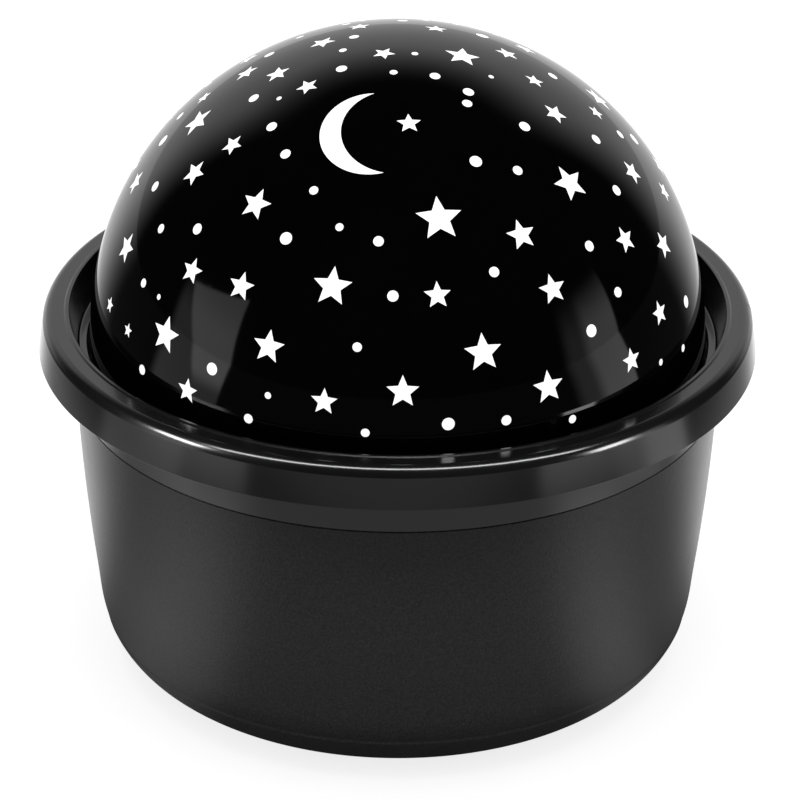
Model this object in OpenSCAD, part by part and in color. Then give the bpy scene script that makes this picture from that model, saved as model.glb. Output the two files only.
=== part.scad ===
// Planetarium projector: a black star dome that a small motor turns over a round base.
// Millimetres, +Z up, origin on the table under the middle of the base.

/* [Dome] */
// Outer radius of the star dome
dome_r = 55.75; // [48:0.25:70]
// Wall of the black dome that holds the star windows
dome_wall = 1.4; // [1:0.1:2.4]
// Wall of the milky diffuser inside the black dome
diffuser_wall = 0.9; // [0.6:0.1:1.5]

/* [Rim] */
// Width of the open channel between the dome and the rim's inner lip
channel_w = 3.55; // [2.5:0.05:8]
// Width of the rim from its inner lip to its outside
rim_w = 5.7; // [4.5:0.1:12]
// Height of the rim from its skirt's lower edge to its top
rim_h = 8.5; // [7.5:0.1:14]
// Depth of the channel below the rim's top
well_depth = 6.1; // [4:0.1:7]
// Height of the collar between the seam and the rim
collar_h = 6.6; // [4.5:0.1:12]

/* [Bowl] */
// Height of the bowl from its underside to the seam
bowl_h = 53; // [50:1:80]
// Wall of the bowl
bowl_wall = 2; // [1.6:0.1:3]
// Thickness of the bowl's floor
floor_t = 2.2; // [1.8:0.1:3]
// Height of the rounded bottom corner
corner_h = 15.1; // [8:0.1:20]
// Width of the rounded bottom corner
corner_w = 13.7; // [8:0.1:16]
// How far the bowl narrows from the seam down to the corner
taper_w = 3; // [0:0.1:5]
// How far the rubber feet stand below the bowl
foot_proud = 0.8; // [0.5:0.1:2]

/* [Turntable] */
// Height of the turntable's plate above the seam
table_rise = 2.1; // [1.7:0.1:3]
// Radius of the fixed collar that the turntable turns on
bearing_r = 32; // [28:0.5:33]
// Running clearance of every turning fit, on the radius
running = 0.05; // [0.02:0.01:0.08]
// Teeth of the turntable's gear
table_teeth = 90; // [84:2:94]
// Teeth of the pinion that drives the turntable
drive_teeth = 12; // [12:2:16]
// Module of the turntable's gear and its pinion
table_module = 0.8; // [0.7:0.05:0.9]

/* [Gearbox] */
// Teeth of both big gears inside the gearbox
big_teeth = 36; // [32:2:40]
// Teeth of both small gears inside the gearbox
small_teeth = 12; // [12:2:14]
// Module of the gears inside the gearbox
box_module = 0.5; // [0.4:0.05:0.5]
// Width of each gear's face inside the gearbox
face_w = 2.5; // [2:0.1:3]
// Diameter of the motor
motor_d = 15.5; // [12:0.5:17]
// Length of the motor's can
motor_len = 17; // [12:0.5:18]

/* [Power and controls] */
// Diameter of each battery cell
cell_d = 10.4; // [10:0.1:11]
// Length of each battery cell, with its button
cell_len = 44.5; // [43:0.1:46]
// Diameter of each push button
button_d = 8; // [6:0.5:9]
// Travel of each push button
button_travel = 1; // [0.6:0.1:1.2]
// Distance between neighbouring push buttons
button_pitch = 12; // [11:0.5:12.5]
// Diameter of the four light-emitting diodes
led_d = 5; // [3:0.5:5]

/* [Hidden] */
$fn = 96;
eps = 0.01;

// Radii of the outside, from the dome outwards
lip_r = dome_r + channel_w;
rim_r = lip_r + rim_w;
skirt_r = rim_r - 1.3;
collar_r = rim_r - 6.5;
waist_r = collar_r - taper_w;
foot_r = waist_r - corner_w;
bowl_bulge = 0.47;
corner_power = 2.3;

// Heights above the bowl's underside
seam_z = bowl_h;
flange_z = seam_z + collar_h;
rim_z = flange_z + rim_h;
well_z = rim_z - well_depth;
dome_z = well_z + 0.8;
shoulder_w = 2.25;
shoulder_h = rim_h - 2.2;
lip_round = 0.4;

// The stack inside: deck, gear, turntable plate and the dome's skirt on it
table_t = 2;
seat_gap = 0.1;
table_z = seam_z + table_rise;
skirt_z = table_z + table_t + seat_gap;
gear_band = 3.5;
gear_z = table_z - gear_band;
washer_t = 0.5;
deck_t = 2;
deck_top = gear_z - washer_t;
deck_z = deck_top - deck_t;
dome_gap = 0.5;
fit_gap = 0.1;

// Radius of the bowl's outside above its corner
function wall_s(z) = (z - corner_h) / (seam_z - corner_h);
function wall_r(z) = waist_r + taper_w * wall_s(z) + 4 * bowl_bulge * wall_s(z) * (1 - wall_s(z));
spigot_r = wall_r(deck_top) - bowl_wall - fit_gap;
spigot_wall = 1.4;
well_t = 1.6;
plate_air = 0.9;
deck_r = wall_r(deck_z) - bowl_wall - 0.15;
collar_in = collar_r - 1.9;

// Housing screws, one in each of four posts
post_r = 46.5 * rim_r / 65;
post_d = 10;
post_angles = [45, 135, 225, 315];
screw_r = 1.45;
screw_pilot = 1.5;
screw_clear = 1.65;
head_r = 2.9;
head_h = 2.4;
head_seat = deck_z - 7.5;
tab_t = 2;

// Turntable and what holds it
table_pitch_r = table_teeth * table_module / 2;
drive_pitch_r = drive_teeth * table_module / 2;
table_r = collar_in - 1.3;
table_bore = bearing_r + running;
track_wall = 2.5;
seat_r = dome_r - dome_wall - 0.15;
seat_ring_h = 3;
seat_ring_t = 1.6;
key_w = 4;
key_h = 2.5;
key_air = 0.15;
key_angles = [90, 210, 330];
retainer_gap = 0.5;
retainer_t = 1.2;
track_top = table_z + table_t + retainer_gap;
retainer_in = bearing_r - 8.5;
retainer_out = bearing_r + 4;
retainer_screw_r = bearing_r - 5;
retainer_angles = [30, 150, 270];

// Gear train on the +X side: turntable, output, idler, motor
out_x = table_pitch_r + drive_pitch_r;
stage = (big_teeth + small_teeth) * box_module / 2;
idle_x = out_x - stage;
motor_x = idle_x - stage;
gear_angle = 25;
backlash = 0.09;
case_wall = 1.5;
case_floor = 2;
gear_air = 0.8;
stage_air = 1;
upper_z = deck_z - gear_air - face_w;
lower_z = upper_z - stage_air - face_w;
case_z = lower_z - gear_air - case_floor;
big_tip_r = (big_teeth / 2 + 0.9) * box_module;
out_shaft_r = 1.25;
idle_pin_r = 1;
motor_shaft_r = 0.75;
press = 0.02;
pinion_face = 3;
pinion_z = gear_z + 0.2;
ear_r = 3;
ear_h = 3.5;
box_ears = [[idle_x, 15], [idle_x, -15], [motor_x - 12.8, 0]];
bracket_ears = [[motor_x, 12.5], [motor_x, -12.5]];
bracket_t = 2;
small_screw_r = 0.9;
small_pilot = 0.95;
small_clear = 1.15;
small_head_r = 1.9;
small_head_h = 1.3;

// Light: post, board, four diodes and reflector
led_post_r = 8;
led_post_wall = 1.8;
led_top = dome_z - 0.8;
led_flange_r = 14;
led_flange_t = 2;
led_cup_r = 12;
led_cup_t = 1.5;
led_board_r = 11;
board_t = 1.2;
led_ring_r = 5.2;
post_screw_r = 11;
post_screw_angles = [60, 180, 300];

// Battery compartment and door
cell_count = 4;
cell_pitch = cell_d + 0.4;
contact_reach = 3.2;
bay_x = cell_count * cell_pitch / 2 + 1;
bay_y = cell_len / 2 + contact_reach + 0.05;
bay_wall = 3.8;
door_t = 2;
door_gap = 0.2;
ledge = 2;
cell_z = door_t + 0.6 + cell_d / 2;
bay_top = cell_z + cell_d / 2 + 0.4;
bay_roof = 1.5;
door_ear = 5;
door_screw_y = bay_y + ledge + 3.5;

// Controls in a flat niche at the back
niche_y = collar_r - 7.5;
niche_wall = 2;
niche_x = 19;
niche_high = deck_z - 5.1;
niche_low = niche_high - 24;
button_z = niche_high - 7;
usb_z = niche_low + 5.5;
button_flange = 1.2;
button_air = 0.08;
plunger_len = 1.5;
plunger_in = 0.4;
plunger_r = 1.7;
switch_h = 3.5;
switch_w = 6;
pcb_t = 1.6;
flange_back = niche_y - niche_wall - 0.1 - button_flange;
plunger_y = flange_back - 1.4;
switch_y = plunger_y - plunger_len;
pcb_y = switch_y - switch_h;
pcb_x = 21;
pcb_low = niche_low - 0.5;
pcb_high = deck_z - 1.2;
standoff_r = 2.2;
standoffs = [[-17, niche_low + 2], [17, niche_low + 2], [-17, niche_high - 0.5], [17, niche_high - 0.5]];
usb_w = 9;
usb_h = 3.3;
usb_len = 9.1;
usb_t = 0.35;

// Feet
foot_pad_r = 3.8;
foot_pocket = 1;
foot_x = 33.5 * foot_r / 41.8;
foot_y = 18 * foot_r / 41.8;

// Wires, the plug they end in and the terminals they start from
wire_r = 0.6;
plug_depth = 5;
plug_y = pcb_y - pcb_t - plug_depth;
plug_z = pcb_low + 3;
terminal_x = 5;
terminal_t = 0.25;
motor_tail = case_z - motor_len - 1.8;
bay_hole_x = 1.2;
bay_hole_y = bay_y - 1.5;

// Star windows: [turn from the front, height above the horizon, star radius]
star_ratio = 0.45;
BELT_STARS = [[10, 45, 4.1], [-13.5, 32.5, 3.5], [16, 21, 3.4], [49, 46, 3.5], [-48, 16.5, 3.4],
    [28, 13, 3], [1, 15, 2.9], [-37, 44, 3], [29, 40, 2.8], [-24.5, 20.5, 3],
    [-33, 29.5, 2.6], [8, 31.5, 2.4], [32.5, 29.5, 2.7], [-13, 12.5, 2.4],
    [47.5, 12.5, 2.3], [58.5, 17.5, 2.3], [-40.5, 8.5, 2.3], [56, 32.5, 2.5],
    [68.5, 27, 2.6], [-46, 29, 2.4], [-61.5, 44, 2.6], [-56.5, 52, 2.2],
    [-70, 25, 2.9], [74, 40.5, 2.5], [66, 58, 2.4], [-80.5, 50, 3.3],
    [85.5, 51.5, 1.8], [84, 32, 2.2], [-84.5, 33, 2.6], [-59.5, 13, 1.4], [-69, 14, 1.6]];
CAP_STARS = [[4, 64.5, 2.2], [-52.5, 69, 2.1], [-28, 84, 2.1], [70.5, 78, 3.3],
    [79, 64.5, 1.9], [98.5, 70, 2.3], [-77.5, 67, 2.4], [-104, 75.5, 2.5],
    [-94, 61, 2.4], [143, 79, 2.2], [-145, 77, 2.2], [118, 63, 2.5],
    [151, 67, 2.6], [-160, 68, 2.6], [-137, 63, 2.2], [176, 61, 3]];
BELT_DOTS = [[-95, 45.5, 0.9], [-48.5, 58.5, 1], [48.5, 59, 1.05], [24, 55, 1.1],
    [-36.5, 54.5, 0.95], [35.5, 51.5, 0.9], [71, 49.5, 1], [-23, 49, 0.8],
    [-14, 43, 0.7], [-4.5, 41, 0.9], [-26, 39.5, 1.1], [62.5, 40.5, 1],
    [-88.5, 41.5, 1.2], [-72.5, 37, 1], [-49.5, 36, 1], [45, 34.5, 0.95],
    [20.5, 34.5, 0.9], [-60.5, 32.5, 0.85], [-1, 31.5, 0.95], [48, 25, 0.9],
    [-7.5, 22.5, 0.8], [-58.5, 22.5, 0.8], [-52.5, 22, 0.5], [39, 20.5, 1.1],
    [70, 15, 1.1], [-35.5, 14, 1.1], [-23.5, 12, 0.6], [9, 9, 1.1], [56, 9, 0.6],
    [19.5, 8.5, 0.9], [-53, 8, 0.9], [-5.5, 7.5, 0.75], [-27, 7, 0.85],
    [32.5, 6, 0.75], [65, 8, 0.7]];
CAP_DOTS = [[-5, 78, 0.7], [27, 84, 0.6], [-77, 79.5, 0.7], [-48, 76, 1], [27, 76, 0.95],
    [-113, 81, 0.9], [124, 71.5, 1.2], [61, 71, 0.5], [38.5, 70, 1], [33, 67.5, 0.9],
    [-58, 64, 0.5], [-106, 64.5, 1], [-69, 61, 1], [93, 61, 0.95], [178, 75, 1],
    [165, 71, 0.9], [-148, 71, 0.9], [-125, 67, 0.8], [135, 64, 0.9]];
moon_turn = -10.5;
moon_up = 62.5;
moon_r = 8.9;
moon_bite_r = 9.2;
moon_bite_off = 4;
moon_tilt = 15;

// Everything is drawn above the bowl's underside, then lifted by the feet
module lift() {
    translate([0, 0, foot_proud]) children();
}

module ring(outer, inner, low, high) {
    translate([0, 0, low]) difference() {
        cylinder(r = outer, h = high - low);
        translate([0, 0, -1]) cylinder(r = inner, h = high - low + 2);
    }
}

module rod(r, low, high) {
    translate([0, 0, low]) cylinder(r = r, h = high - low);
}

module box(low, high) {
    translate(low) cube(high - low);
}

module around(angles, r) {
    for (a = angles) rotate([0, 0, a]) translate([r, 0, 0]) children();
}

// A rod along +Y, from y0 to y1, at [x, z]
module rod_y(r, x, z, y0, y1) {
    translate([x, y0, z]) rotate([-90, 0, 0]) cylinder(r = r, h = y1 - y0);
}

// A wire through a short list of points
module wire(points) {
    for (i = [0 : len(points) - 2]) {
        run = points[i + 1] - points[i];
        translate(points[i]) rotate([0, acos(run.z / norm(run)), atan2(run.y, run.x)])
            cylinder(r = wire_r, h = norm(run), $fn = 24);
    }
    for (i = [1 : len(points) - 2]) translate(points[i]) sphere(r = wire_r * 1.2, $fn = 24);
}

// A pan-head screw: its head's seat at z, its shank going up
module screw(shank, head, head_t, z, tip) {
    difference() {
        union() {
            rod(shank, z, tip);
            rod(head, z - head_t, z);
        }
        slot = head * 0.28;
        box([-slot, -head * 0.62, z - head_t - 1], [slot, head * 0.62, z - head_t * 0.5]);
        box([-head * 0.62, -slot, z - head_t - 1], [head * 0.62, slot, z - head_t * 0.5]);
    }
}

// Involute spur gear outline; one tooth points along +X
function inv_angle(r, base) = let (t = sqrt(max(0, (r / base) ^ 2 - 1))) t * 180 / PI - atan(t);
module gear(teeth, mod, thick, steps = 3) {
    pitch_r = teeth * mod / 2;
    base = pitch_r * cos(gear_angle);
    tip = pitch_r + 0.9 * mod;
    root = pitch_r - 1.2 * mod;
    low = max(base, root);
    half = 90 / teeth - backlash / 2 / pitch_r * 180 / PI + inv_angle(pitch_r, base);
    flank = [for (k = [0 : steps]) let (r = low + (tip - low) * k / steps)
        [r, half - inv_angle(r, base)]];
    side = concat(root < base ? [[root, half]] : [], flank);
    points = [for (i = [0 : teeth - 1]) let (a = i * 360 / teeth) each concat(
        [for (p = side) p.x * [cos(a - p.y), sin(a - p.y)]],
        [for (k = [len(side) - 1 : -1 : 0]) let (p = side[k]) p.x * [cos(a + p.y), sin(a + p.y)]])];
    linear_extrude(thick) polygon(points);
}

// Outline of the bowl, from the middle of its floor to the seam
function corner_at(u) = [1 - pow(abs(cos(u)), 2 / corner_power), 1 - pow(abs(sin(u)), 2 / corner_power)];
function bowl_line(inset, low) = concat(
    [for (u = [90 : -7.5 : 7.5]) let (c = corner_at(u))
        [waist_r - inset - (corner_w - inset * 0.4) * c.x, low + (corner_h - low) * c.y]],
    [for (k = [0 : 8]) let (z = corner_h + (seam_z - corner_h) * k / 8) [wall_r(z) - inset, z]]);
module bowl_solid() {
    rotate_extrude($fn = 180) polygon(concat([[0, 0]], bowl_line(0, 0), [[0, seam_z]]));
}
module bowl_hollow() {
    rotate_extrude($fn = 180)
        polygon(concat([[0, floor_t]], bowl_line(bowl_wall, floor_t),
            [[wall_r(seam_z) - bowl_wall, seam_z + 1], [0, seam_z + 1]]));
}

// The door's outline, grown by g: a plate with an ear for a screw at each end
module door_plan(g) {
    square([2 * (bay_x + ledge + g), 2 * (bay_y + ledge + g)], center = true);
    for (side = [-1, 1]) translate([0, side * door_screw_y]) circle(r = door_ear + g);
    square([2 * (door_ear + g), 2 * door_screw_y], center = true);
}

module base_shell() color("#1c1c1d") lift() difference() {
    union() {
        difference() {
            bowl_solid();
            bowl_hollow();
        }
        intersection() {
            bowl_solid();
            union() {
                around(post_angles, post_r) rod(post_d / 2, 0, deck_z);
                box([-niche_x - niche_wall, niche_y - niche_wall, niche_low - niche_wall],
                    [niche_x + niche_wall, rim_r, niche_high + niche_wall]);
                for (p = standoffs) rod_y(standoff_r, p.x, p.y, pcb_y, niche_y - niche_wall + eps);
            }
        }
        box([-bay_x - bay_wall, -bay_y - bay_wall, eps],
            [bay_x + bay_wall, bay_y + bay_wall, bay_top + bay_roof]);
        for (side = [-1, 1]) translate([0, side * door_screw_y, 0]) rod(door_ear, floor_t - eps, bay_top);
    }
    around(post_angles, post_r) {
        rod(screw_clear, -1, deck_z + 1);
        rod(head_r + 0.2, -1, head_seat);
    }
    box([-bay_x, -bay_y, -1], [bay_x, bay_y, bay_top]);
    translate([0, 0, -1]) linear_extrude(door_t + 0.1 + 1) door_plan(door_gap);
    for (side = [-1, 1]) translate([0, side * door_screw_y, 0]) rod(small_pilot, 0, bay_top - 1);
    for (side = [-1, 1]) translate([side * bay_hole_x, bay_hole_y, 0])
        rod(wire_r + 0.2, 0, bay_top + bay_roof + 1);
    box([-niche_x, niche_y, niche_low], [niche_x, rim_r, niche_high]);
    for (k = [-1 : 1])
        rod_y(button_d / 2 + button_air, k * button_pitch, button_z, niche_y - niche_wall - 1, niche_y + 1);
    box([-usb_w / 2 - 0.3, niche_y - niche_wall - 1, usb_z - usb_h / 2 - 0.3],
        [usb_w / 2 + 0.3, niche_y + 1, usb_z + usb_h / 2 + 0.3]);
    for (p = standoffs) rod_y(small_pilot, p.x, p.y, pcb_y - 1, niche_y - niche_wall - 1);
    for (x = [-foot_x, foot_x], y = [-foot_y, foot_y])
        translate([x, y, 0]) rod(foot_pad_r + 0.05, -1, foot_pocket);
}

module rim_housing() color("#232324") lift() difference() {
    union() {
        rotate_extrude($fn = 180) polygon(concat(
            [[spigot_r - spigot_wall, deck_top], [spigot_r, deck_top], [spigot_r, seam_z],
             [collar_r, seam_z], [collar_r, flange_z + 1.4], [collar_r + 2.4, flange_z + 4.4],
             [collar_r + 2.4, rim_z - 2.2], [rim_r - 2.1, rim_z - 2.2], [skirt_r - 1.6, flange_z],
             [skirt_r, flange_z]],
            [for (u = [0 : 11.25 : 90]) [rim_r - shoulder_w + shoulder_w * cos(u),
                rim_z - shoulder_h + shoulder_h * sin(u)]],
            [for (u = [90 : 22.5 : 180]) [lip_r + lip_round + lip_round * cos(u),
                rim_z - lip_round + lip_round * sin(u)]],
            [[lip_r - 1.5, well_z], [dome_r + dome_gap, well_z], [dome_r + dome_gap, well_z - well_t],
             [collar_in, well_z - well_t], [collar_in, table_z - plate_air],
             [spigot_r - spigot_wall, table_z - plate_air]]));
        around(post_angles, post_r) {
            rod(4.5, deck_top, deck_top + tab_t);
            box([0, -4.5, deck_top], [spigot_r - spigot_wall / 2 - post_r, 4.5, deck_top + tab_t]);
        }
    }
    around(post_angles, post_r) rod(screw_pilot, deck_top - 1, deck_top + tab_t + 1);
}

module deck() color("#2b2b2d") lift() difference() {
    union() {
        rod(deck_r, deck_z, deck_top);
        rod(bearing_r, deck_top - eps, track_top);
        for (p = box_ears) translate([p.x, p.y, 0]) rod(ear_r, case_z + ear_h, deck_z + eps);
        around(post_screw_angles, post_screw_r) rod(ear_r, deck_z - 4, deck_z + eps);
    }
    difference() {
        rod(bearing_r - track_wall, deck_top, track_top + 1);
        around(retainer_angles, retainer_screw_r) rod(ear_r + 0.4, deck_top - 1, track_top + 2);
    }
    around(retainer_angles, retainer_screw_r) rod(small_pilot, deck_top + 1, track_top + 1);
    around(post_screw_angles, post_screw_r) rod(small_pilot, deck_z - 3, deck_top + 1);
    for (p = box_ears) translate([p.x, p.y, 0]) rod(small_pilot, case_z, deck_z + 0.8);
    around(post_angles, post_r) rod(screw_clear, deck_z - 1, deck_top + 1);
    translate([out_x, 0, 0]) rod(out_shaft_r + running, deck_z - 1, deck_top + 1);
    translate([idle_x, 0, 0]) rod(idle_pin_r + press, deck_z - 1, deck_z + 1);
    rod(5, deck_z - 1, deck_top + 1);
}

module thrust_washer() color("#d8d6cf") lift()
    ring(table_pitch_r - 1.6, bearing_r + 0.1, deck_top, gear_z - 0.05);

module bearing_retainer() color("#2b2b2d") lift() difference() {
    ring(retainer_out, retainer_in, track_top, track_top + retainer_t);
    around(retainer_angles, retainer_screw_r) rod(small_clear, track_top - 1, track_top + retainer_t + 1);
}

module turntable() color("#303032") lift() difference() {
    union() {
        translate([0, 0, gear_z]) gear(table_teeth, table_module, gear_band + eps, 2);
        rod(table_r, table_z, table_z + table_t);
        ring(seat_r, seat_r - seat_ring_t, table_z + table_t - eps, table_z + table_t + seat_ring_h);
        for (a = key_angles) rotate([0, 0, a])
            box([seat_r - 0.85, -key_w / 2, table_z + table_t - eps],
                [table_r - 0.1, key_w / 2, table_z + table_t + key_h]);
    }
    rod(table_bore, gear_z - 1, table_z + table_t + 1);
}

// One window's cutter: a prism that points out of the dome
module window(turn, up) {
    translate([0, 0, dome_z]) rotate([90 - up, 0, turn]) translate([0, 0, dome_r - dome_wall - 1.2])
        linear_extrude(dome_wall + 3) children();
}
module star(r) {
    polygon([for (k = [0 : 9]) let (a = 90 + 36 * k) (k % 2 == 0 ? r : r * star_ratio) * [cos(a), sin(a)]]);
}
module moon() {
    difference() {
        circle(r = moon_r);
        translate([moon_bite_off, 0]) circle(r = moon_bite_r);
    }
}
module windows() {
    for (half = [0, 180]) {
        for (s = BELT_STARS) window(s.x + half, s.y) star(s.z);
        for (d = BELT_DOTS) window(d.x + half, d.y) circle(r = d.z, $fn = 24);
    }
    for (s = CAP_STARS) window(s.x, s.y) star(s.z);
    for (d = CAP_DOTS) window(d.x, d.y) circle(r = d.z, $fn = 24);
    window(moon_turn, moon_up) rotate(moon_tilt) moon();
}

// A thin dome of outer radius r: half a sphere on a straight skirt that ends at z
module dome_solid(r, z) {
    intersection() {
        translate([0, 0, dome_z]) sphere(r = r, $fn = 180);
        rod(r + 1, dome_z, dome_z + r + 1);
    }
    rod(r, z, dome_z);
}

module dome_shell() color("#0d0d0e") lift() difference() {
    dome_solid(dome_r, skirt_z);
    dome_solid(dome_r - dome_wall, skirt_z - 1);
    for (a = key_angles) rotate([0, 0, a])
        box([dome_r - dome_wall - 1, -key_w / 2 - key_air, skirt_z - 1],
            [dome_r + 1, key_w / 2 + key_air, skirt_z + key_h]);
    windows();
}

module dome_diffuser() color("#f4f4f0") lift() difference() {
    dome_solid(dome_r - dome_wall - 0.05, table_z + table_t + seat_ring_h + 0.4);
    dome_solid(dome_r - dome_wall - 0.05 - diffuser_wall, table_z);
}

module led_post() color("#e9e9e6") lift() difference() {
    union() {
        rod(led_post_r, deck_top, led_top);
        rod(led_flange_r, deck_top, deck_top + led_flange_t);
        rod(led_cup_r, led_top - led_cup_t, led_top);
    }
    rod(led_post_r - led_post_wall, deck_top - 1, led_top + 1);
    around(post_screw_angles, post_screw_r) rod(small_clear, deck_top - 1, deck_top + led_flange_t + 1);
}

module led_board() color("#e6e8e4") lift() difference() {
    rod(led_board_r, led_top, led_top + board_t);
    rod(1.6, led_top - 1, led_top + board_t + 1);
}

module leds() color("#f2f2ea") lift() around([45, 135, 225, 315], led_ring_r) {
    rod(led_d / 2 + 0.4, led_top + board_t, led_top + board_t + 1);
    rod(led_d / 2, led_top + board_t + 0.9, led_top + board_t + 4);
    translate([0, 0, led_top + board_t + 4]) sphere(r = led_d / 2, $fn = 48);
}

module reflector() color("#f6f6f3") lift() rotate_extrude() polygon([
    [led_board_r + 0.1, led_top], [led_board_r + 1, led_top], [led_board_r + 1, led_top + 1.4],
    [led_board_r + 6, led_top + 7], [led_board_r + 5, led_top + 7], [led_board_r + 0.1, led_top + 1.8]]);

// Outline around the three gear axes
module gearbox_plan(g) {
    hull() {
        translate([out_x, 0]) circle(r = big_tip_r + g, $fn = 48);
        translate([idle_x, 0]) circle(r = big_tip_r + g, $fn = 48);
    }
    hull() {
        translate([idle_x, 0]) circle(r = 5 + g, $fn = 48);
        translate([motor_x, 0]) circle(r = 5 + g, $fn = 48);
    }
}

module gearbox_case() color("#3a3a3d") lift() difference() {
    union() {
        translate([0, 0, case_z]) linear_extrude(deck_z - case_z) gearbox_plan(0.7 + case_wall);
        for (p = concat(box_ears, bracket_ears)) translate([p.x, p.y, 0]) rod(ear_r, case_z, case_z + ear_h);
        for (y = [-1, 1]) {
            box([idle_x - 2.5, y * 13 - 3, case_z], [idle_x + 2.5, y * 13 + 3, case_z + ear_h]);
            box([motor_x - 2.5, y * 9 - 4, case_z], [motor_x + 2.5, y * 9 + 4, case_z + ear_h]);
        }
        box([motor_x - 12.8, -2.5, case_z], [motor_x - 4, 2.5, case_z + ear_h]);
    }
    translate([0, 0, case_z + case_floor]) linear_extrude(deck_z) gearbox_plan(0.7);
    translate([out_x, 0, 0]) rod(out_shaft_r + running, case_z + 0.5, deck_z);
    translate([idle_x, 0, 0]) rod(idle_pin_r + press, case_z + 0.6, deck_z);
    translate([motor_x, 0, 0]) rod(3.1, case_z - 1, deck_z);
    for (p = box_ears) translate([p.x, p.y, 0]) rod(small_clear, case_z - 1, deck_z);
    for (p = bracket_ears) translate([p.x, p.y, 0]) rod(small_pilot, case_z - 1, case_z + ear_h - 0.5);
}

module output_gear() color("#efe9d8") lift() translate([out_x, 0, 0]) difference() {
    union() {
        translate([0, 0, upper_z]) gear(big_teeth, box_module, face_w);
        rod(2.6, upper_z - 0.5, upper_z + face_w + 0.4);
    }
    rod(out_shaft_r + press, case_z, deck_z);
}

module output_shaft() color("#b9bcc0") lift() translate([out_x, 0, 0])
    rod(out_shaft_r, case_z + 0.7, pinion_z + pinion_face);

module drive_pinion() color("#efe9d8") lift() translate([out_x, 0, 0]) difference() {
    translate([0, 0, pinion_z]) rotate([0, 0, 180 / drive_teeth])
        gear(drive_teeth, table_module, pinion_face);
    rod(out_shaft_r + press, deck_top, table_z);
}

module idler_gear() color("#efe9d8") lift() translate([idle_x, 0, 0]) difference() {
    union() {
        translate([0, 0, upper_z]) rotate([0, 0, 180 / small_teeth]) gear(small_teeth, box_module, face_w);
        translate([0, 0, lower_z]) gear(big_teeth, box_module, face_w);
        rod(2.1, lower_z - 0.5, upper_z + 0.5);
    }
    rod(idle_pin_r + running, case_z, deck_z);
}

module idler_pin() color("#b9bcc0") lift() translate([idle_x, 0, 0])
    rod(idle_pin_r, case_z + 0.7, deck_z + 0.9);

module motor_pinion() color("#c9a24a") lift() translate([motor_x, 0, 0]) difference() {
    translate([0, 0, lower_z]) rotate([0, 0, 180 / small_teeth]) gear(small_teeth, box_module, face_w);
    rod(motor_shaft_r + press, case_z, deck_z);
}

module motor_shaft() color("#b9bcc0") lift() translate([motor_x, 0, 0])
    rod(motor_shaft_r, case_z - 2, lower_z + face_w);

module motor_can() color("#a9acb0") lift() translate([motor_x, 0, 0]) difference() {
    union() {
        intersection() {
            rod(motor_d / 2, case_z - motor_len, case_z);
            box([-motor_d, -motor_d * 0.39, case_z - motor_len], [motor_d, motor_d * 0.39, case_z]);
        }
        rod(3, case_z - eps, case_z + 1.2);
        rod(3, case_z - motor_len - 1.2, case_z - motor_len + eps);
        for (x = [-1, 1]) box([x * terminal_x - 0.9, -terminal_t, motor_tail - 0.7],
            [x * terminal_x + 0.9, terminal_t, case_z - motor_len + eps]);
    }
    rod(motor_shaft_r + running, case_z - 2.2, deck_z);
}

module motor_bracket() color("#3a3a3d") lift() translate([motor_x, 0, 0]) difference() {
    union() {
        rod(motor_d / 2 + 1.5, case_z - 12, case_z);
        for (p = bracket_ears) translate([0, p.y, 0]) rod(ear_r, case_z - bracket_t, case_z);
        box([-2.5, bracket_ears[1].y, case_z - bracket_t], [2.5, bracket_ears[0].y, case_z]);
    }
    intersection() {
        rod(motor_d / 2 + 0.1, case_z - 20, case_z + 1);
        box([-motor_d, -motor_d * 0.39 - 0.1, case_z - 20], [motor_d, motor_d * 0.39 + 0.1, case_z + 1]);
    }
    for (p = bracket_ears) translate([0, p.y, 0]) rod(small_clear, case_z - 4, case_z + 1);
}

module control_board() color("#1f5a3a") lift() difference() {
    box([-pcb_x, pcb_y - pcb_t, pcb_low], [pcb_x, pcb_y, pcb_high]);
    for (p = standoffs) rod_y(small_clear, p.x, p.y, pcb_y - pcb_t - 1, pcb_y + 1);
}

module board_components() color("#202022") lift() {
    back = pcb_y - pcb_t;
    box([-6, back - 1.6, button_z - 8], [4, back, button_z - 1]);
    rod_y(3, 12, button_z - 4, back - 7, back);
    rod_y(2.5, -13, button_z - 4, back - 5.5, back);
    box([-3, plug_y, plug_z - 2], [7, back, plug_z + 2]);
}

module tact_switches() color("#2a2a2c") lift() for (k = [-1 : 1]) difference() {
    box([k * button_pitch - switch_w / 2, pcb_y, button_z - switch_w / 2],
        [k * button_pitch + switch_w / 2, switch_y, button_z + switch_w / 2]);
    rod_y(plunger_r + 0.1, k * button_pitch, button_z,
        switch_y - plunger_in - button_travel - 0.2, switch_y + 1);
}

module plunger(k) color("#c9c9c4") lift()
    rod_y(plunger_r, k * button_pitch, button_z, switch_y - plunger_in, plunger_y);
module plunger_light() plunger(-1);
module plunger_colour() plunger(0);
module plunger_spin() plunger(1);

module button(k) color("#2e2e30") lift() {
    x = k * button_pitch;
    rod_y(button_d / 2, x, button_z, flange_back + button_flange - eps, niche_y + button_travel + 0.2);
    rod_y(button_d / 2 + 1.3, x, button_z, flange_back, flange_back + button_flange);
    rod_y(2, x, button_z, plunger_y, flange_back + eps);
}
module button_light() button(-1);
module button_colour() button(0);
module button_spin() button(1);

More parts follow.
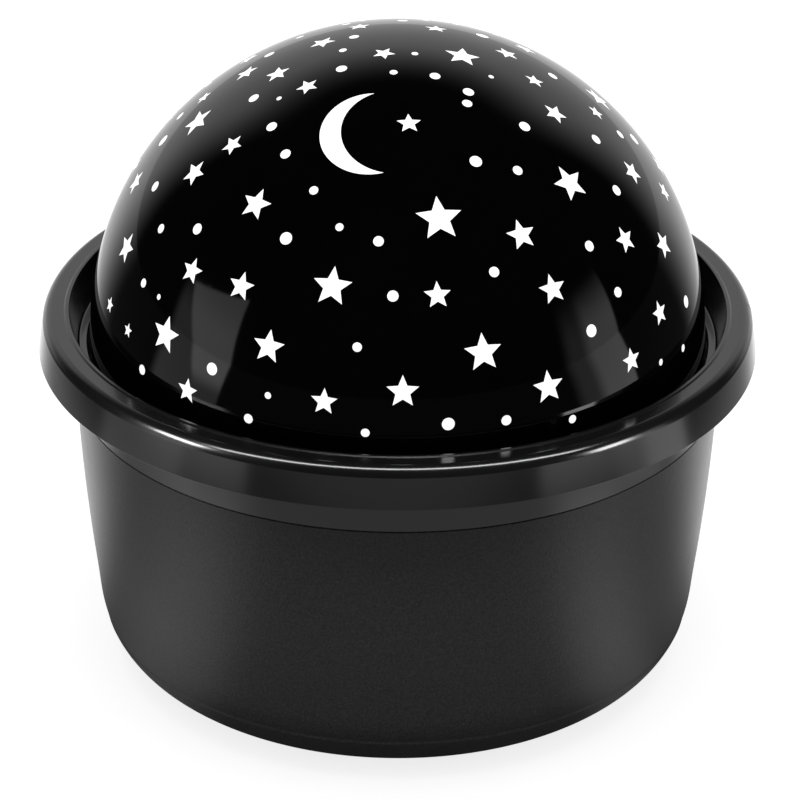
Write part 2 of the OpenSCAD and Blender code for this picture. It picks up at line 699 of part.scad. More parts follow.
module usb_socket() color("#b9bcc0") lift() {
    difference() {
        box([-usb_w / 2, pcb_y, usb_z - usb_h / 2], [usb_w / 2, pcb_y + usb_len, usb_z + usb_h / 2]);
        box([-usb_w / 2 + usb_t, pcb_y + 1.5, usb_z - usb_h / 2 + usb_t],
            [usb_w / 2 - usb_t, pcb_y + usb_len + 1, usb_z + usb_h / 2 - usb_t]);
    }
    box([-3.3, pcb_y + 1, usb_z - usb_t], [3.3, pcb_y + usb_len - 1.2, usb_z + usb_t]);
}

module at_cells() {
    for (i = [0 : cell_count - 1]) translate([(i - (cell_count - 1) / 2) * cell_pitch, 0, cell_z])
        rotate([0, 0, i % 2 * 180]) children();
}

module battery_cells() color("#3f6ea8") lift() at_cells() {
    rod_y(cell_d / 2, 0, 0, -cell_len / 2, cell_len / 2 - 1.2);
    rod_y(1.9, 0, 0, cell_len / 2 - 1.3, cell_len / 2);
}

// Bent spring strips, one at each end of each cell
module contact() {
    rotate([90, 0, 90]) linear_extrude(6, center = true) polygon([[0, -4.2], [0.4, -4.2], [0.4, -2.7],
        [contact_reach, -0.4], [contact_reach, 0.4], [0.4, 2.7], [0.4, 4.2], [0, 4.2],
        [0, 2.5], [contact_reach - 0.5, 0.3], [contact_reach - 0.5, -0.3], [0, -2.5]]);
}
module battery_contacts() color("#c6c8cc") lift() at_cells() {
    translate([0, -bay_y, 0]) contact();
    translate([0, bay_y, 0]) rotate([0, 0, 180]) contact();
}

module battery_door() color("#1c1c1d") lift() difference() {
    linear_extrude(door_t) door_plan(0);
    for (side = [-1, 1]) translate([0, side * door_screw_y, 0]) {
        rod(small_clear, -1, door_t + 1);
        rod(small_head_r + 0.2, -1, small_head_h);
    }
    for (x = [-2 : 2]) box([x * 4 - 0.7, -6, -1], [x * 4 + 0.7, 6, 0.5]);
}

module door_screws() color("#8f9296") lift() for (side = [-1, 1]) translate([0, side * door_screw_y, 0])
    screw(small_screw_r, small_head_r, small_head_h - 0.1, small_head_h, bay_top - 3);

module rubber_feet() color("#101011") lift() for (x = [-foot_x, foot_x], y = [-foot_y, foot_y])
    translate([x, y, 0]) rod(foot_pad_r, -foot_proud, foot_pocket);

module housing_screws() color("#8f9296") lift() around(post_angles, post_r)
    screw(screw_r, head_r, head_h, head_seat, deck_top + tab_t);
module small_screw(z, tip) {
    screw(small_screw_r, small_head_r, small_head_h, z, tip);
}
module retainer_screws() color("#8f9296") lift() around(retainer_angles, retainer_screw_r)
    translate([0, 0, track_top + retainer_t]) mirror([0, 0, 1]) small_screw(0, 5);
module post_screws() color("#8f9296") lift() around(post_screw_angles, post_screw_r)
    translate([0, 0, deck_top + led_flange_t]) mirror([0, 0, 1]) small_screw(0, 6.5);
module gearbox_screws() color("#8f9296") lift() for (p = box_ears) translate([p.x, p.y, 0])
    small_screw(case_z, deck_z - 1);
module motor_screws() color("#8f9296") lift() for (p = bracket_ears) translate([p.x, p.y, 0])
    small_screw(case_z - bracket_t, case_z + ear_h - 1);
module board_screws() color("#8f9296") lift() for (p = standoffs)
    translate([p.x, pcb_y - pcb_t, p.y]) rotate([-90, 0, 0]) small_screw(0, 5.5);

// Leads: motor and battery to the plug on the board's inner face, light to the board
module motor_lead(side) {
    x = motor_x + side * terminal_x;
    plug_x = 4 + side;
    wire([[x, terminal_t, motor_tail], [x, 10, motor_tail], [plug_x, 28, plug_z], [plug_x, plug_y, plug_z]]);
}
module motor_lead_red() color("#b3261e") lift() motor_lead(1);
module motor_lead_black() color("#161616") lift() motor_lead(-1);
module battery_lead(x) {
    top = bay_top + bay_roof;
    wire([[x, bay_hole_y, bay_top], [x, bay_hole_y, top + 2.6],
        [x, bay_hole_y + 5, plug_z], [x, plug_y, plug_z]]);
}
module battery_lead_red() color("#b3261e") lift() battery_lead(bay_hole_x);
module battery_lead_black() color("#161616") lift() battery_lead(-bay_hole_x);
module led_leads() color("#d9d9d4") lift() for (x = [-3.2, -1.8, -0.4])
    wire([[x, 2.5, led_top], [x, 2.5, deck_z - 2],
        [x - 8, 26, deck_z - 4], [x - 8, pcb_y - pcb_t, deck_z - 4]]);

base_shell();
rim_housing();
deck();
thrust_washer();
bearing_retainer();
led_post();
led_board();
leds();
reflector();
gearbox_case();
idler_pin();
motor_can();
motor_bracket();
control_board();
board_components();
tact_switches();
usb_socket();
battery_cells();
battery_contacts();
rubber_feet();
housing_screws();
retainer_screws();
post_screws();
gearbox_screws();
motor_screws();
board_screws();
motor_lead_red();
motor_lead_black();
battery_lead_red();
battery_lead_black();
led_leads();
turntable();
dome_shell();
dome_diffuser();
output_gear();
output_shaft();
drive_pinion();
idler_gear();
motor_shaft();
motor_pinion();
button_light();
button_colour();
button_spin();
plunger_light();
plunger_colour();
plunger_spin();
battery_door();
door_screws();
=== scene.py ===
import math

import bpy
import numpy as np
from mathutils import Matrix, Vector


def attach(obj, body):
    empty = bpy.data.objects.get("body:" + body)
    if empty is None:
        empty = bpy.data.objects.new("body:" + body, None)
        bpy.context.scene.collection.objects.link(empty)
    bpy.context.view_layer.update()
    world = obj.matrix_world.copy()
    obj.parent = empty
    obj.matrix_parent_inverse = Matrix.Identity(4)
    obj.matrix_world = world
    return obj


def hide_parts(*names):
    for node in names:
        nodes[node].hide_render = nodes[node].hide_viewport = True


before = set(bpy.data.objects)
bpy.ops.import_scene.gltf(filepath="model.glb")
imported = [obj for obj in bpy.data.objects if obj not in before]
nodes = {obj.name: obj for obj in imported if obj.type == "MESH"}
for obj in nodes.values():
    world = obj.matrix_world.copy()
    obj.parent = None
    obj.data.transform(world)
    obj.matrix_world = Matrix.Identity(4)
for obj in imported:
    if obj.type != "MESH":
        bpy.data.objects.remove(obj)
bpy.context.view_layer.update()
MM = 0.001

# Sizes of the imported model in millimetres, heights above the table.
# Dome: radius, wall, height of its centre and of its lower edge
DOME_R, DOME_WALL, DOME_Z, DOME_LOW = 55.75, 1.4, 63.6, 58.0
MILKY_R, MILKY_WALL, MILKY_LOW = 54.3, 0.9, 61.3
# Rim: radii, then heights of its top, channel floor, skirt's edge and seam with the bowl
RIM_R, COLLAR_R, SPIGOT_R, SPIGOT_IN_R = 65.0, 58.5, 56.34, 54.94
RIM_Z, WELL_Z, RIM_LOW_Z, SEAM_Z = 68.9, 62.8, 61.4, 53.8
TAB_LOW, TAB_HIGH, TAB_R = 51.9, 53.9, 4.5
# Bowl: wall over the corner, and the corner's superellipse
WAIST_R, TAPER, BULGE, FLOOR_Z = 55.5, 3.0, 0.47, 0.8
CORNER_H, CORNER_W, CORNER_POWER = 15.1, 13.7, 2.3
# Screw posts round the bowl
POST_R, POST_ANGLES = 46.5, [math.radians(a) for a in (45, 135, 225, 315)]
# Control niche at the back, buttons and power socket
NICHE_Y, NICHE_X, NICHE_LOW, NICHE_HIGH = 51.0, 19.0, 20.8, 44.8
NICHE_WALL, BOARD_Y, BUTTON_Z, BUTTON_PITCH, BUTTON_R, USB_Z = 2.0, 41.3, 37.8, 12, 4.0, 26.3
# Battery bay and its two end screws
BAY_TOP, DOOR_SCREW_Y = 14.2, 31

# Star windows: [turn from the front, height above the horizon, star radius]
STAR_RATIO = 0.45
BELT_STARS = [[10, 45, 4.1], [-13.5, 32.5, 3.5], [16, 21, 3.4], [49, 46, 3.5], [-48, 16.5, 3.4],
    [28, 13, 3], [1, 15, 2.9], [-37, 44, 3], [29, 40, 2.8], [-24.5, 20.5, 3],
    [-33, 29.5, 2.6], [8, 31.5, 2.4], [32.5, 29.5, 2.7], [-13, 12.5, 2.4],
    [47.5, 12.5, 2.3], [58.5, 17.5, 2.3], [-40.5, 8.5, 2.3], [56, 32.5, 2.5],
    [68.5, 27, 2.6], [-46, 29, 2.4], [-61.5, 44, 2.6], [-56.5, 52, 2.2],
    [-70, 25, 2.9], [74, 40.5, 2.5], [66, 58, 2.4], [-80.5, 50, 3.3],
    [85.5, 51.5, 1.8], [84, 32, 2.2], [-84.5, 33, 2.6], [-59.5, 13, 1.4], [-69, 14, 1.6]]
CAP_STARS = [[4, 64.5, 2.2], [-52.5, 69, 2.1], [-28, 84, 2.1], [70.5, 78, 3.3],
    [79, 64.5, 1.9], [98.5, 70, 2.3], [-77.5, 67, 2.4], [-104, 75.5, 2.5],
    [-94, 61, 2.4], [143, 79, 2.2], [-145, 77, 2.2], [118, 63, 2.5],
    [151, 67, 2.6], [-160, 68, 2.6], [-137, 63, 2.2], [176, 61, 3]]
BELT_DOTS = [[-95, 45.5, 0.9], [-48.5, 58.5, 1], [48.5, 59, 1.05], [24, 55, 1.1],
    [-36.5, 54.5, 0.95], [35.5, 51.5, 0.9], [71, 49.5, 1], [-23, 49, 0.8],
    [-14, 43, 0.7], [-4.5, 41, 0.9], [-26, 39.5, 1.1], [62.5, 40.5, 1],
    [-88.5, 41.5, 1.2], [-72.5, 37, 1], [-49.5, 36, 1], [45, 34.5, 0.95],
    [20.5, 34.5, 0.9], [-60.5, 32.5, 0.85], [-1, 31.5, 0.95], [48, 25, 0.9],
    [-7.5, 22.5, 0.8], [-58.5, 22.5, 0.8], [-52.5, 22, 0.5], [39, 20.5, 1.1],
    [70, 15, 1.1], [-35.5, 14, 1.1], [-23.5, 12, 0.6], [9, 9, 1.1], [56, 9, 0.6],
    [19.5, 8.5, 0.9], [-53, 8, 0.9], [-5.5, 7.5, 0.75], [-27, 7, 0.85],
    [32.5, 6, 0.75], [65, 8, 0.7]]
CAP_DOTS = [[-5, 78, 0.7], [27, 84, 0.6], [-77, 79.5, 0.7], [-48, 76, 1], [27, 76, 0.95],
    [-113, 81, 0.9], [124, 71.5, 1.2], [61, 71, 0.5], [38.5, 70, 1], [33, 67.5, 0.9],
    [-58, 64, 0.5], [-106, 64.5, 1], [-69, 61, 1], [93, 61, 0.95], [178, 75, 1],
    [165, 71, 0.9], [-148, 71, 0.9], [-125, 67, 0.8], [135, 64, 0.9]]
MOON_TURN, MOON_UP, MOON_R, BITE_R, BITE_OFF, MOON_TILT = -10.5, 62.5, 8.9, 9.2, 4.0, 15


# ---------------------------------------------------------------- mesh tools
def make_mesh(name, verts, faces):
    me = bpy.data.meshes.new(name)
    me.from_pydata([tuple(v) for v in verts], [], [tuple(f) for f in faces])
    me.validate()
    me.update()
    ob = bpy.data.objects.new(name, me)
    bpy.context.scene.collection.objects.link(ob)
    return ob


def rounded(corners, steps=5):
    """Polygon corners (r, z, fillet) to closely spaced points with their own outward normals."""
    n = len(corners)
    area = sum(corners[i][0] * corners[(i + 1) % n][1] - corners[(i + 1) % n][0] * corners[i][1] for i in range(n))
    side = 1 if area > 0 else -1
    points, normals = [], []
    for i, (r, z, fillet) in enumerate(corners):
        p = np.array([r, z], float)
        a = np.array(corners[i - 1][:2], float) - p
        b = np.array(corners[(i + 1) % n][:2], float) - p
        la, lb = np.linalg.norm(a), np.linalg.norm(b)
        a, b = a / la, b / lb
        na = side * np.array([-a[1], a[0]])
        nb = side * np.array([b[1], -b[0]])
        turn = math.acos(max(-1, min(1, float(np.dot(na, nb)))))
        if turn < 1e-4:
            points.append(p)
            normals.append(na)
            continue
        cut = min(fillet * math.tan(turn / 2), la * 0.49, lb * 0.49)
        rad = cut / math.tan(turn / 2)
        convex = (na[0] * nb[1] - na[1] * nb[0]) * side > 0
        centre = p + a * cut - na * rad if convex else p + a * cut + na * rad
        count = max(2, int(steps * turn / (math.pi / 2)) + 2)
        for k in range(count):
            t = k / (count - 1)
            m = na * math.sin((1 - t) * turn) / math.sin(turn) + nb * math.sin(t * turn) / math.sin(turn) \
                if math.sin(turn) > 1e-6 else na
            m = m / np.linalg.norm(m)
            points.append(centre + m * rad if convex else centre - m * rad)
            normals.append(m)
    return np.array(points), np.array(normals)


def revolve(name, points, normals, segs):
    """Turns a closed outline round +Z. Its own normals give each facet the true curved shading."""
    ang = np.arange(segs) * 2 * math.pi / segs
    c, s = np.cos(ang), np.sin(ang)
    n = len(points)
    verts = np.empty((n, segs, 3))
    verts[:, :, 0] = points[:, :1] * c
    verts[:, :, 1] = points[:, :1] * s
    verts[:, :, 2] = points[:, 1:2]
    norm = np.empty((n, segs, 3))
    norm[:, :, 0] = normals[:, :1] * c
    norm[:, :, 1] = normals[:, :1] * s
    norm[:, :, 2] = normals[:, 1:2]
    area = sum(points[i][0] * points[(i + 1) % n][1] - points[(i + 1) % n][0] * points[i][1] for i in range(n))
    faces = []
    for i in range(n):
        j = (i + 1) % n
        for k in range(segs):
            m = (k + 1) % segs
            quad = [i * segs + k, i * segs + m, j * segs + m, j * segs + k]
            faces.append(quad if area > 0 else quad[::-1])
    return make_mesh(name, verts.reshape(-1, 3), faces), norm.reshape(-1, 3)


def solid_of_outline(name, points, segs):
    """A solid of revolution whose outline starts and ends on the axis."""
    ang = np.arange(segs) * 2 * math.pi / segs
    verts, rings = [], []
    for r, z in points:
        if r < 1e-6:
            rings.append([len(verts)])
            verts.append((0, 0, z))
        else:
            rings.append(list(range(len(verts), len(verts) + segs)))
            verts.extend(zip(r * np.cos(ang), r * np.sin(ang), np.full(segs, z)))
    faces = []
    for a, b in zip(rings, rings[1:]):
        for k in range(segs):
            m = (k + 1) % segs
            if len(a) == 1:
                faces.append([a[0], b[m], b[k]])
            elif len(b) == 1:
                faces.append([a[k], a[m], b[0]])
            else:
                faces.append([a[k], a[m], b[m], b[k]])
    return make_mesh(name, verts, faces)


def prism(name, outline, low, high, basis=None, origin=(0, 0, 0)):
    """A closed prism over a flat outline that runs anticlockwise; basis turns it, origin places it."""
    n = len(outline)
    basis = np.eye(3) if basis is None else basis
    pts = [(x, y, low) for x, y in outline] + [(x, y, high) for x, y in outline]
    verts = np.array(pts) @ basis + np.array(origin)
    faces = [list(range(n))[::-1], list(range(n, 2 * n))]
    faces += [[k, (k + 1) % n, n + (k + 1) % n, n + k] for k in range(n)]
    return verts, faces


def joined(name, parts):
    """One object of several prisms that stay apart."""
    verts, faces, base = [], [], 0
    for v, f in parts:
        verts.append(v)
        faces.extend([[i + base for i in face] for face in f])
        base += len(v)
    return make_mesh(name, np.vstack(verts), faces)


def circle(r, n, cx=0, cy=0):
    turn = 2 * math.pi / n
    return [(cx + r * math.cos(turn * k), cy + r * math.sin(turn * k)) for k in range(n)]


def round_box(x0, y0, x1, y1, r, n=6):
    """Rectangle between two corners, with rounded corners of n steps."""
    out = []
    corners = ((x1 - r, y1 - r, 0), (x0 + r, y1 - r, 90), (x0 + r, y0 + r, 180), (x1 - r, y0 + r, 270))
    for cx, cy, start in corners:
        for k in range(n + 1):
            a = math.radians(start + 90 * k / n)
            out.append((cx + r * math.cos(a), cy + r * math.sin(a)))
    return out


# Turns a prism so that its outline lies in XZ and its height runs along -Y
ALONG_Y = np.array([[1, 0, 0], [0, 0, 1], [0, -1, 0]], float)


def boolean(ob, tool, kind):
    """Cuts, joins or intersects ob with tool, which is used up."""
    m = ob.modifiers.new("cut", "BOOLEAN")
    m.operation = kind
    m.solver = "MANIFOLD"
    m.object = tool
    dg = bpy.context.evaluated_depsgraph_get()
    me = bpy.data.meshes.new_from_object(ob.evaluated_get(dg))
    ob.modifiers.clear()
    ob.data = me
    bpy.data.objects.remove(tool)


def shade(ob, analytic, sharp=35.0):
    """Own normals: analytic(points, face normals) gives (normals, mask); elsewhere faces stay crisp."""
    me = ob.data
    n_face, n_loop, n_vert = len(me.polygons), len(me.loops), len(me.vertices)
    co = np.zeros(n_vert * 3)
    me.vertices.foreach_get("co", co)
    co = co.reshape(-1, 3)
    fn = np.zeros(n_face * 3)
    me.polygons.foreach_get("normal", fn)
    fn = fn.reshape(-1, 3)
    li = np.zeros(n_loop, np.int64)
    me.loops.foreach_get("vertex_index", li)
    lt = np.zeros(n_face, np.int64)
    me.polygons.foreach_get("loop_total", lt)
    face_of = np.repeat(np.arange(n_face), lt)
    me.polygons.foreach_set("use_smooth", np.ones(n_face, bool))
    me.set_sharp_from_angle(angle=math.radians(sharp))
    me.update()
    cn = np.zeros(n_loop * 3, np.float32)
    me.corner_normals.foreach_get("vector", cn)
    cn = cn.reshape(-1, 3).astype(float)
    want, mask = analytic(co[li], fn[face_of])
    cn[mask] = want[mask]
    me.normals_split_custom_set([tuple(v) for v in cn])


def crisp(points, face_normals):
    """For shade(): no analytic surface, plain face normals with sharp edges."""
    return face_normals, np.zeros(len(points), bool)


def finish_piece(ob, body, replaced, mats):
    """To metres, with its materials, on its body and in place of the CAD nodes named."""
    ob.data.transform(Matrix.Scale(MM, 4))
    ob.data.update()
    ob.data.materials.clear()
    for m in mats:
        ob.data.materials.append(m)
    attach(ob, body)
    if replaced:
        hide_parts(*replaced)


# ---------------------------------------------------------------- materials
def lnk(nt, a, b):
    nt.links.new(a, b)


def ramp(nt, source, low, high, out_low, out_high):
    """Linear from low to high, constant outside."""
    m = nt.nodes.new("ShaderNodeMapRange")
    m.inputs["From Min"].default_value = low
    m.inputs["From Max"].default_value = high
    m.inputs["To Min"].default_value = out_low
    m.inputs["To Max"].default_value = out_high
    lnk(nt, source, m.inputs["Value"])
    return m.outputs["Result"]


def noise(nt, coord, scale, detail=3.0, rough=0.55, stretch=None):
    if stretch is not None:
        mp = nt.nodes.new("ShaderNodeMapping")
        mp.inputs["Scale"].default_value = stretch
        lnk(nt, coord, mp.inputs["Vector"])
        coord = mp.outputs["Vector"]
    n = nt.nodes.new("ShaderNodeTexNoise")
    n.inputs["Scale"].default_value = scale
    n.inputs["Detail"].default_value = detail
    n.inputs["Roughness"].default_value = rough
    lnk(nt, coord, n.inputs["Vector"])
    return n.outputs["Fac"]


def math_node(nt, op, a, b=None):
    m = nt.nodes.new("ShaderNodeMath")
    m.operation = op
    for i, v in enumerate((a, b)):
        if v is None:
            continue
        if isinstance(v, (int, float)):
            m.inputs[i].default_value = v
        else:
            lnk(nt, v, m.inputs[i])
    return m.outputs[0]


def mix_colour(nt, fac, a, b):
    m = nt.nodes.new("ShaderNodeMix")
    m.data_type = "RGBA"
    lnk(nt, fac, m.inputs["Factor"])
    for k, v in (("A", a), ("B", b)):
        socket = [s for s in m.inputs if s.name == k and s.type == "RGBA"][0]
        if isinstance(v, (tuple, list)):
            socket.default_value = tuple(v)[:3] + (1.0,)
        else:
            lnk(nt, v, socket)
    return [s for s in m.outputs if s.type == "RGBA"][0]


MOTTLE = 45.0   # scale of the broad variation in colour and gloss


def finish_material(name, colour, other, rough, rough_span=0.08, metallic=0.0, spec=0.5, grain=2600.0, grain_bump=0.12,
                    grain_depth=0.00004, scuff=0.0, wear=0.0, wear_colour=(0.1, 0.1, 0.1), coat=0.0, stretch=None,
                    subsurface=0.0, emit=0.0, emit_colour=(1, 1, 1), aniso=0.0, speckle=0.0):
    """Plastic, metal or rubber with colour variation, uneven gloss, grain, fine scuffs and worn edges."""
    mat = bpy.data.materials.new(name)
    mat.use_nodes = True
    nt = mat.node_tree
    b = nt.nodes["Principled BSDF"]
    coord = nt.nodes.new("ShaderNodeTexCoord").outputs["Object"]
    broad = noise(nt, coord, MOTTLE, 4.0)
    fine = noise(nt, coord, grain, 2.0, 0.5, stretch)
    tint = ramp(nt, broad, 0.3, 0.7, 0.0, 1.0)
    colour_out = mix_colour(nt, tint, colour, other)
    if speckle > 0:
        dust = noise(nt, coord, grain * 0.8, 1.0)
        low, high = [c * (1 - speckle) for c in colour], [c * (1 + 2.5 * speckle) for c in other]
        colour_out = mix_colour(nt, ramp(nt, dust, 0.3, 0.72, 0.0, 1.0), low, high)
    uneven = math_node(nt, "ADD", math_node(nt, "MULTIPLY", broad, 0.6), math_node(nt, "MULTIPLY", fine, 0.4))
    rough_out = ramp(nt, uneven, 0.3, 0.7, rough - rough_span / 2, rough + rough_span / 2)
    if scuff > 0:
        streak = noise(nt, coord, 260.0, 5.0, 0.6, (1.0, 1.0, 0.06))
        cross = noise(nt, coord, 330.0, 5.0, 0.6, (0.08, 1.0, 1.0))
        line = math_node(nt, "MAXIMUM", ramp(nt, streak, 0.66, 0.72, 0.0, 1.0),
                         ramp(nt, cross, 0.68, 0.74, 0.0, 1.0))
        rough_out = math_node(nt, "ADD", rough_out, math_node(nt, "MULTIPLY", line, scuff))
    if wear > 0:
        point = nt.nodes.new("ShaderNodeNewGeometry").outputs["Pointiness"]
        edge = math_node(nt, "MULTIPLY", ramp(nt, point, 0.53, 0.62, 0.0, 1.0),
                         ramp(nt, noise(nt, coord, 420.0, 4.0), 0.42, 0.62, 0.0, wear))
        colour_out = mix_colour(nt, edge, colour_out, wear_colour)
    lnk(nt, colour_out, b.inputs["Base Color"])
    lnk(nt, rough_out, b.inputs["Roughness"])
    b.inputs["Metallic"].default_value = metallic
    b.inputs["Specular IOR Level"].default_value = spec
    b.inputs["Coat Weight"].default_value = coat
    b.inputs["Coat Roughness"].default_value = 0.08
    b.inputs["Anisotropic"].default_value = aniso
    if subsurface:
        b.inputs["Subsurface Weight"].default_value = subsurface
        b.inputs["Subsurface Radius"].default_value = (0.002, 0.002, 0.002)
        b.inputs["Subsurface Scale"].default_value = 1.0
    # Emission: a real lamp on the diodes; on the milky windows and diffuser it is painted light, a glow that is no lamp
    if emit:
        b.inputs["Emission Color"].default_value = tuple(emit_colour) + (1.0,)
        b.inputs["Emission Strength"].default_value = emit
    if grain_bump > 0:
        bump = nt.nodes.new("ShaderNodeBump")
        bump.inputs["Strength"].default_value = grain_bump
        bump.inputs["Distance"].default_value = grain_depth
        lnk(nt, fine, bump.inputs["Height"])
        lnk(nt, bump.outputs["Normal"], b.inputs["Normal"])
    return mat


# Each look: darker and lighter colour, roughness and its spread, then grain, scuffs and wear
M = {
    "dome": finish_material("dome_gloss", (0.0010, 0.0010, 0.0011), (0.0016, 0.0016, 0.0017), 0.05, 0.02, grain=900,
                            grain_bump=0.015, scuff=0.03, spec=0.5),
    # Painted light: the star window plugs glow by their own emission, though they are no lamp
    "plug": finish_material("window_milk_painted_glow", (0.86, 0.86, 0.85), (0.9, 0.9, 0.89), 0.35, 0.1, grain=1500, grain_bump=0.05,
                            emit=0.75, emit_colour=(1.0, 1.0, 0.995)),
    # Painted light: the milky diffuser gives off a faint glow of its own, though it is no lamp
    "glowing_milk": finish_material("diffuser_milk_painted_glow", (0.82, 0.82, 0.8), (0.88, 0.88, 0.86), 0.3, 0.1, grain=1500,
                            grain_bump=0.05, emit=0.12, subsurface=0.2),
    "rim": finish_material("rim_semi_gloss", (0.0035, 0.0035, 0.0037), (0.005, 0.005, 0.0052), 0.17, 0.025, grain=2200,
                           grain_bump=0.03, scuff=0.04, spec=0.85),
    "bowl": finish_material("bowl_satin", (0.0075, 0.0075, 0.0077), (0.0095, 0.0095, 0.0097), 0.38, 0.05, grain=3000,
                            grain_bump=0.6, grain_depth=0.00006, scuff=0.05, spec=0.5, speckle=0.4),
    "inner": finish_material("inner_plain", (0.022, 0.022, 0.023), (0.03, 0.03, 0.031), 0.48, 0.12, grain=2400,
                             grain_bump=0.2, wear=0.3, scuff=0.05),
    "table": finish_material("turntable_plain", (0.026, 0.026, 0.027), (0.036, 0.036, 0.037), 0.42, 0.12, grain=2000,
                             grain_bump=0.2, wear=0.3, scuff=0.08),
    "white": finish_material("white_moulding", (0.78, 0.78, 0.76), (0.84, 0.84, 0.82), 0.38, 0.1, grain=2000,
                             grain_bump=0.12, subsurface=0.1, wear=0.1, wear_colour=(0.6, 0.59, 0.56)),
    "nylon": finish_material("nylon", (0.72, 0.67, 0.55), (0.8, 0.76, 0.66), 0.45, 0.12, grain=1800, grain_bump=0.15,
                             subsurface=0.15),
    "steel": finish_material("steel", (0.55, 0.56, 0.58), (0.66, 0.67, 0.69), 0.3, 0.16, metallic=1.0, grain=1400,
                             grain_bump=0.08, scuff=0.12, stretch=(1, 1, 0.1), aniso=0.3),
    "screw": finish_material("plated_screw", (0.42, 0.43, 0.46), (0.55, 0.56, 0.58), 0.32, 0.16, metallic=1.0,
                             grain=1600, grain_bump=0.1, scuff=0.12, wear=0.4, wear_colour=(0.75, 0.75, 0.76)),
    "brass": finish_material("brass", (0.62, 0.45, 0.19), (0.76, 0.58, 0.28), 0.3, 0.12, metallic=1.0, grain=1400,
                             grain_bump=0.08, scuff=0.1),
    "board": finish_material("board_green", (0.018, 0.11, 0.045), (0.03, 0.15, 0.065), 0.3, 0.1, grain=1200,
                             grain_bump=0.15, coat=0.3),
    "board_white": finish_material("board_white", (0.8, 0.81, 0.79), (0.86, 0.87, 0.85), 0.32, 0.1, grain=1200,
                                   grain_bump=0.12, coat=0.3),
    "epoxy": finish_material("epoxy", (0.014, 0.014, 0.014), (0.022, 0.022, 0.022), 0.4, 0.12, grain=2600,
                             grain_bump=0.25),
    "lens": finish_material("diode_lens", (0.9, 0.9, 0.84), (0.95, 0.95, 0.9), 0.12, 0.05, grain=700, grain_bump=0.03,
                            emit=1.2, emit_colour=(1.0, 0.97, 0.9), coat=0.5),
    "rubber": finish_material("rubber", (0.013, 0.013, 0.013), (0.022, 0.022, 0.021), 0.7, 0.12, grain=2200,
                              grain_bump=0.4, spec=0.3),
    "button": finish_material("button_gloss", (0.016, 0.016, 0.017), (0.022, 0.022, 0.023), 0.24, 0.08, grain=2000,
                              grain_bump=0.06, wear=0.2, scuff=0.06, wear_colour=(0.07, 0.07, 0.07)),
    "wire_red": finish_material("wire_red", (0.4, 0.012, 0.01), (0.48, 0.02, 0.014), 0.38, 0.1, grain=1500,
                                grain_bump=0.1),
    "wire_black": finish_material("wire_black", (0.012, 0.012, 0.012), (0.02, 0.02, 0.02), 0.38, 0.1, grain=1500,
                                  grain_bump=0.1),
    "wire_white": finish_material("wire_white", (0.7, 0.7, 0.67), (0.78, 0.78, 0.75), 0.4, 0.1, grain=1500,
                                  grain_bump=0.1),
}


def cell_material():
    """Plain two-tone sleeve: a dark body with a copper band at both ends of each cell, steel end caps."""
    mat = finish_material("cell_sleeve", (0.02, 0.03, 0.05), (0.028, 0.04, 0.065), 0.25, 0.08, grain=900,
                          grain_bump=0.04, coat=0.4)
    nt = mat.node_tree
    b = nt.nodes["Principled BSDF"]
    old = b.inputs["Base Color"].links[0].from_socket
    coord = nt.nodes.new("ShaderNodeTexCoord").outputs["Object"]
    sep = nt.nodes.new("ShaderNodeSeparateXYZ")
    lnk(nt, coord, sep.inputs[0])
    away = math_node(nt, "ABSOLUTE", sep.outputs["Y"])
    band_from, cap_from, edge = 0.0128, 0.0206, 0.0001   # metres from the middle of the bay
    band = ramp(nt, away, band_from, band_from + edge, 0.0, 1.0)
    cap = ramp(nt, away, cap_from, cap_from + edge, 0.0, 1.0)
    sleeve = mix_colour(nt, band, old, (0.45, 0.2, 0.09))
    lnk(nt, mix_colour(nt, cap, sleeve, (0.6, 0.61, 0.62)), b.inputs["Base Color"])
    lnk(nt, math_node(nt, "MAXIMUM", math_node(nt, "MULTIPLY", band, 0.75), cap), b.inputs["Metallic"])
    return mat


def add_tracks(mat):
    """Lighter tracks under the board's green mask, as a grid of narrow lines."""
    nt = mat.node_tree
    b = nt.nodes["Principled BSDF"]
    old = b.inputs["Base Color"].links[0].from_socket
    coord = nt.nodes.new("ShaderNodeTexCoord").outputs["Object"]
    brick = nt.nodes.new("ShaderNodeTexBrick")
    brick.inputs["Scale"].default_value = 260.0
    brick.inputs["Mortar Size"].default_value = 0.018
    turn = nt.nodes.new("ShaderNodeMapping")
    turn.inputs["Rotation"].default_value = (math.radians(90), 0, 0)
    lnk(nt, coord, turn.inputs["Vector"])
    lnk(nt, turn.outputs["Vector"], brick.inputs["Vector"])
    lnk(nt, mix_colour(nt, brick.outputs["Fac"], old, (0.05, 0.24, 0.1)), b.inputs["Base Color"])


M["cell"] = cell_material()
add_tracks(M["board"])

CAD_LOOKS = {
    "deck": "inner", "thrust_washer": "nylon", "bearing_retainer": "inner", "led_post": "white",
    "led_board": "board_white", "leds": "lens", "reflector": "white", "gearbox_case": "inner", "idler_pin": "steel",
    "motor_can": "steel", "motor_bracket": "inner", "control_board": "board", "board_components": "epoxy",
    "tact_switches": "epoxy", "usb_socket": "steel", "battery_cells": "cell", "battery_contacts": "steel",
    "rubber_feet": "rubber", "housing_screws": "screw", "retainer_screws": "screw", "post_screws": "screw",
    "gearbox_screws": "screw", "motor_screws": "screw", "board_screws": "screw", "motor_lead_red": "wire_red",
    "motor_lead_black": "wire_black", "battery_lead_red": "wire_red", "battery_lead_black": "wire_black",
    "led_leads": "wire_white", "turntable": "table", "output_gear": "nylon", "output_shaft": "steel",
    "drive_pinion": "nylon", "idler_gear": "nylon", "motor_shaft": "steel", "motor_pinion": "brass",
    "plunger_light": "white", "plunger_colour": "white", "plunger_spin": "white", "battery_door": "bowl",
    "door_screws": "screw",
}
for name, look in CAD_LOOKS.items():
    ob = nodes[name]
    ob.data.materials.clear()
    ob.data.materials.append(M[look])


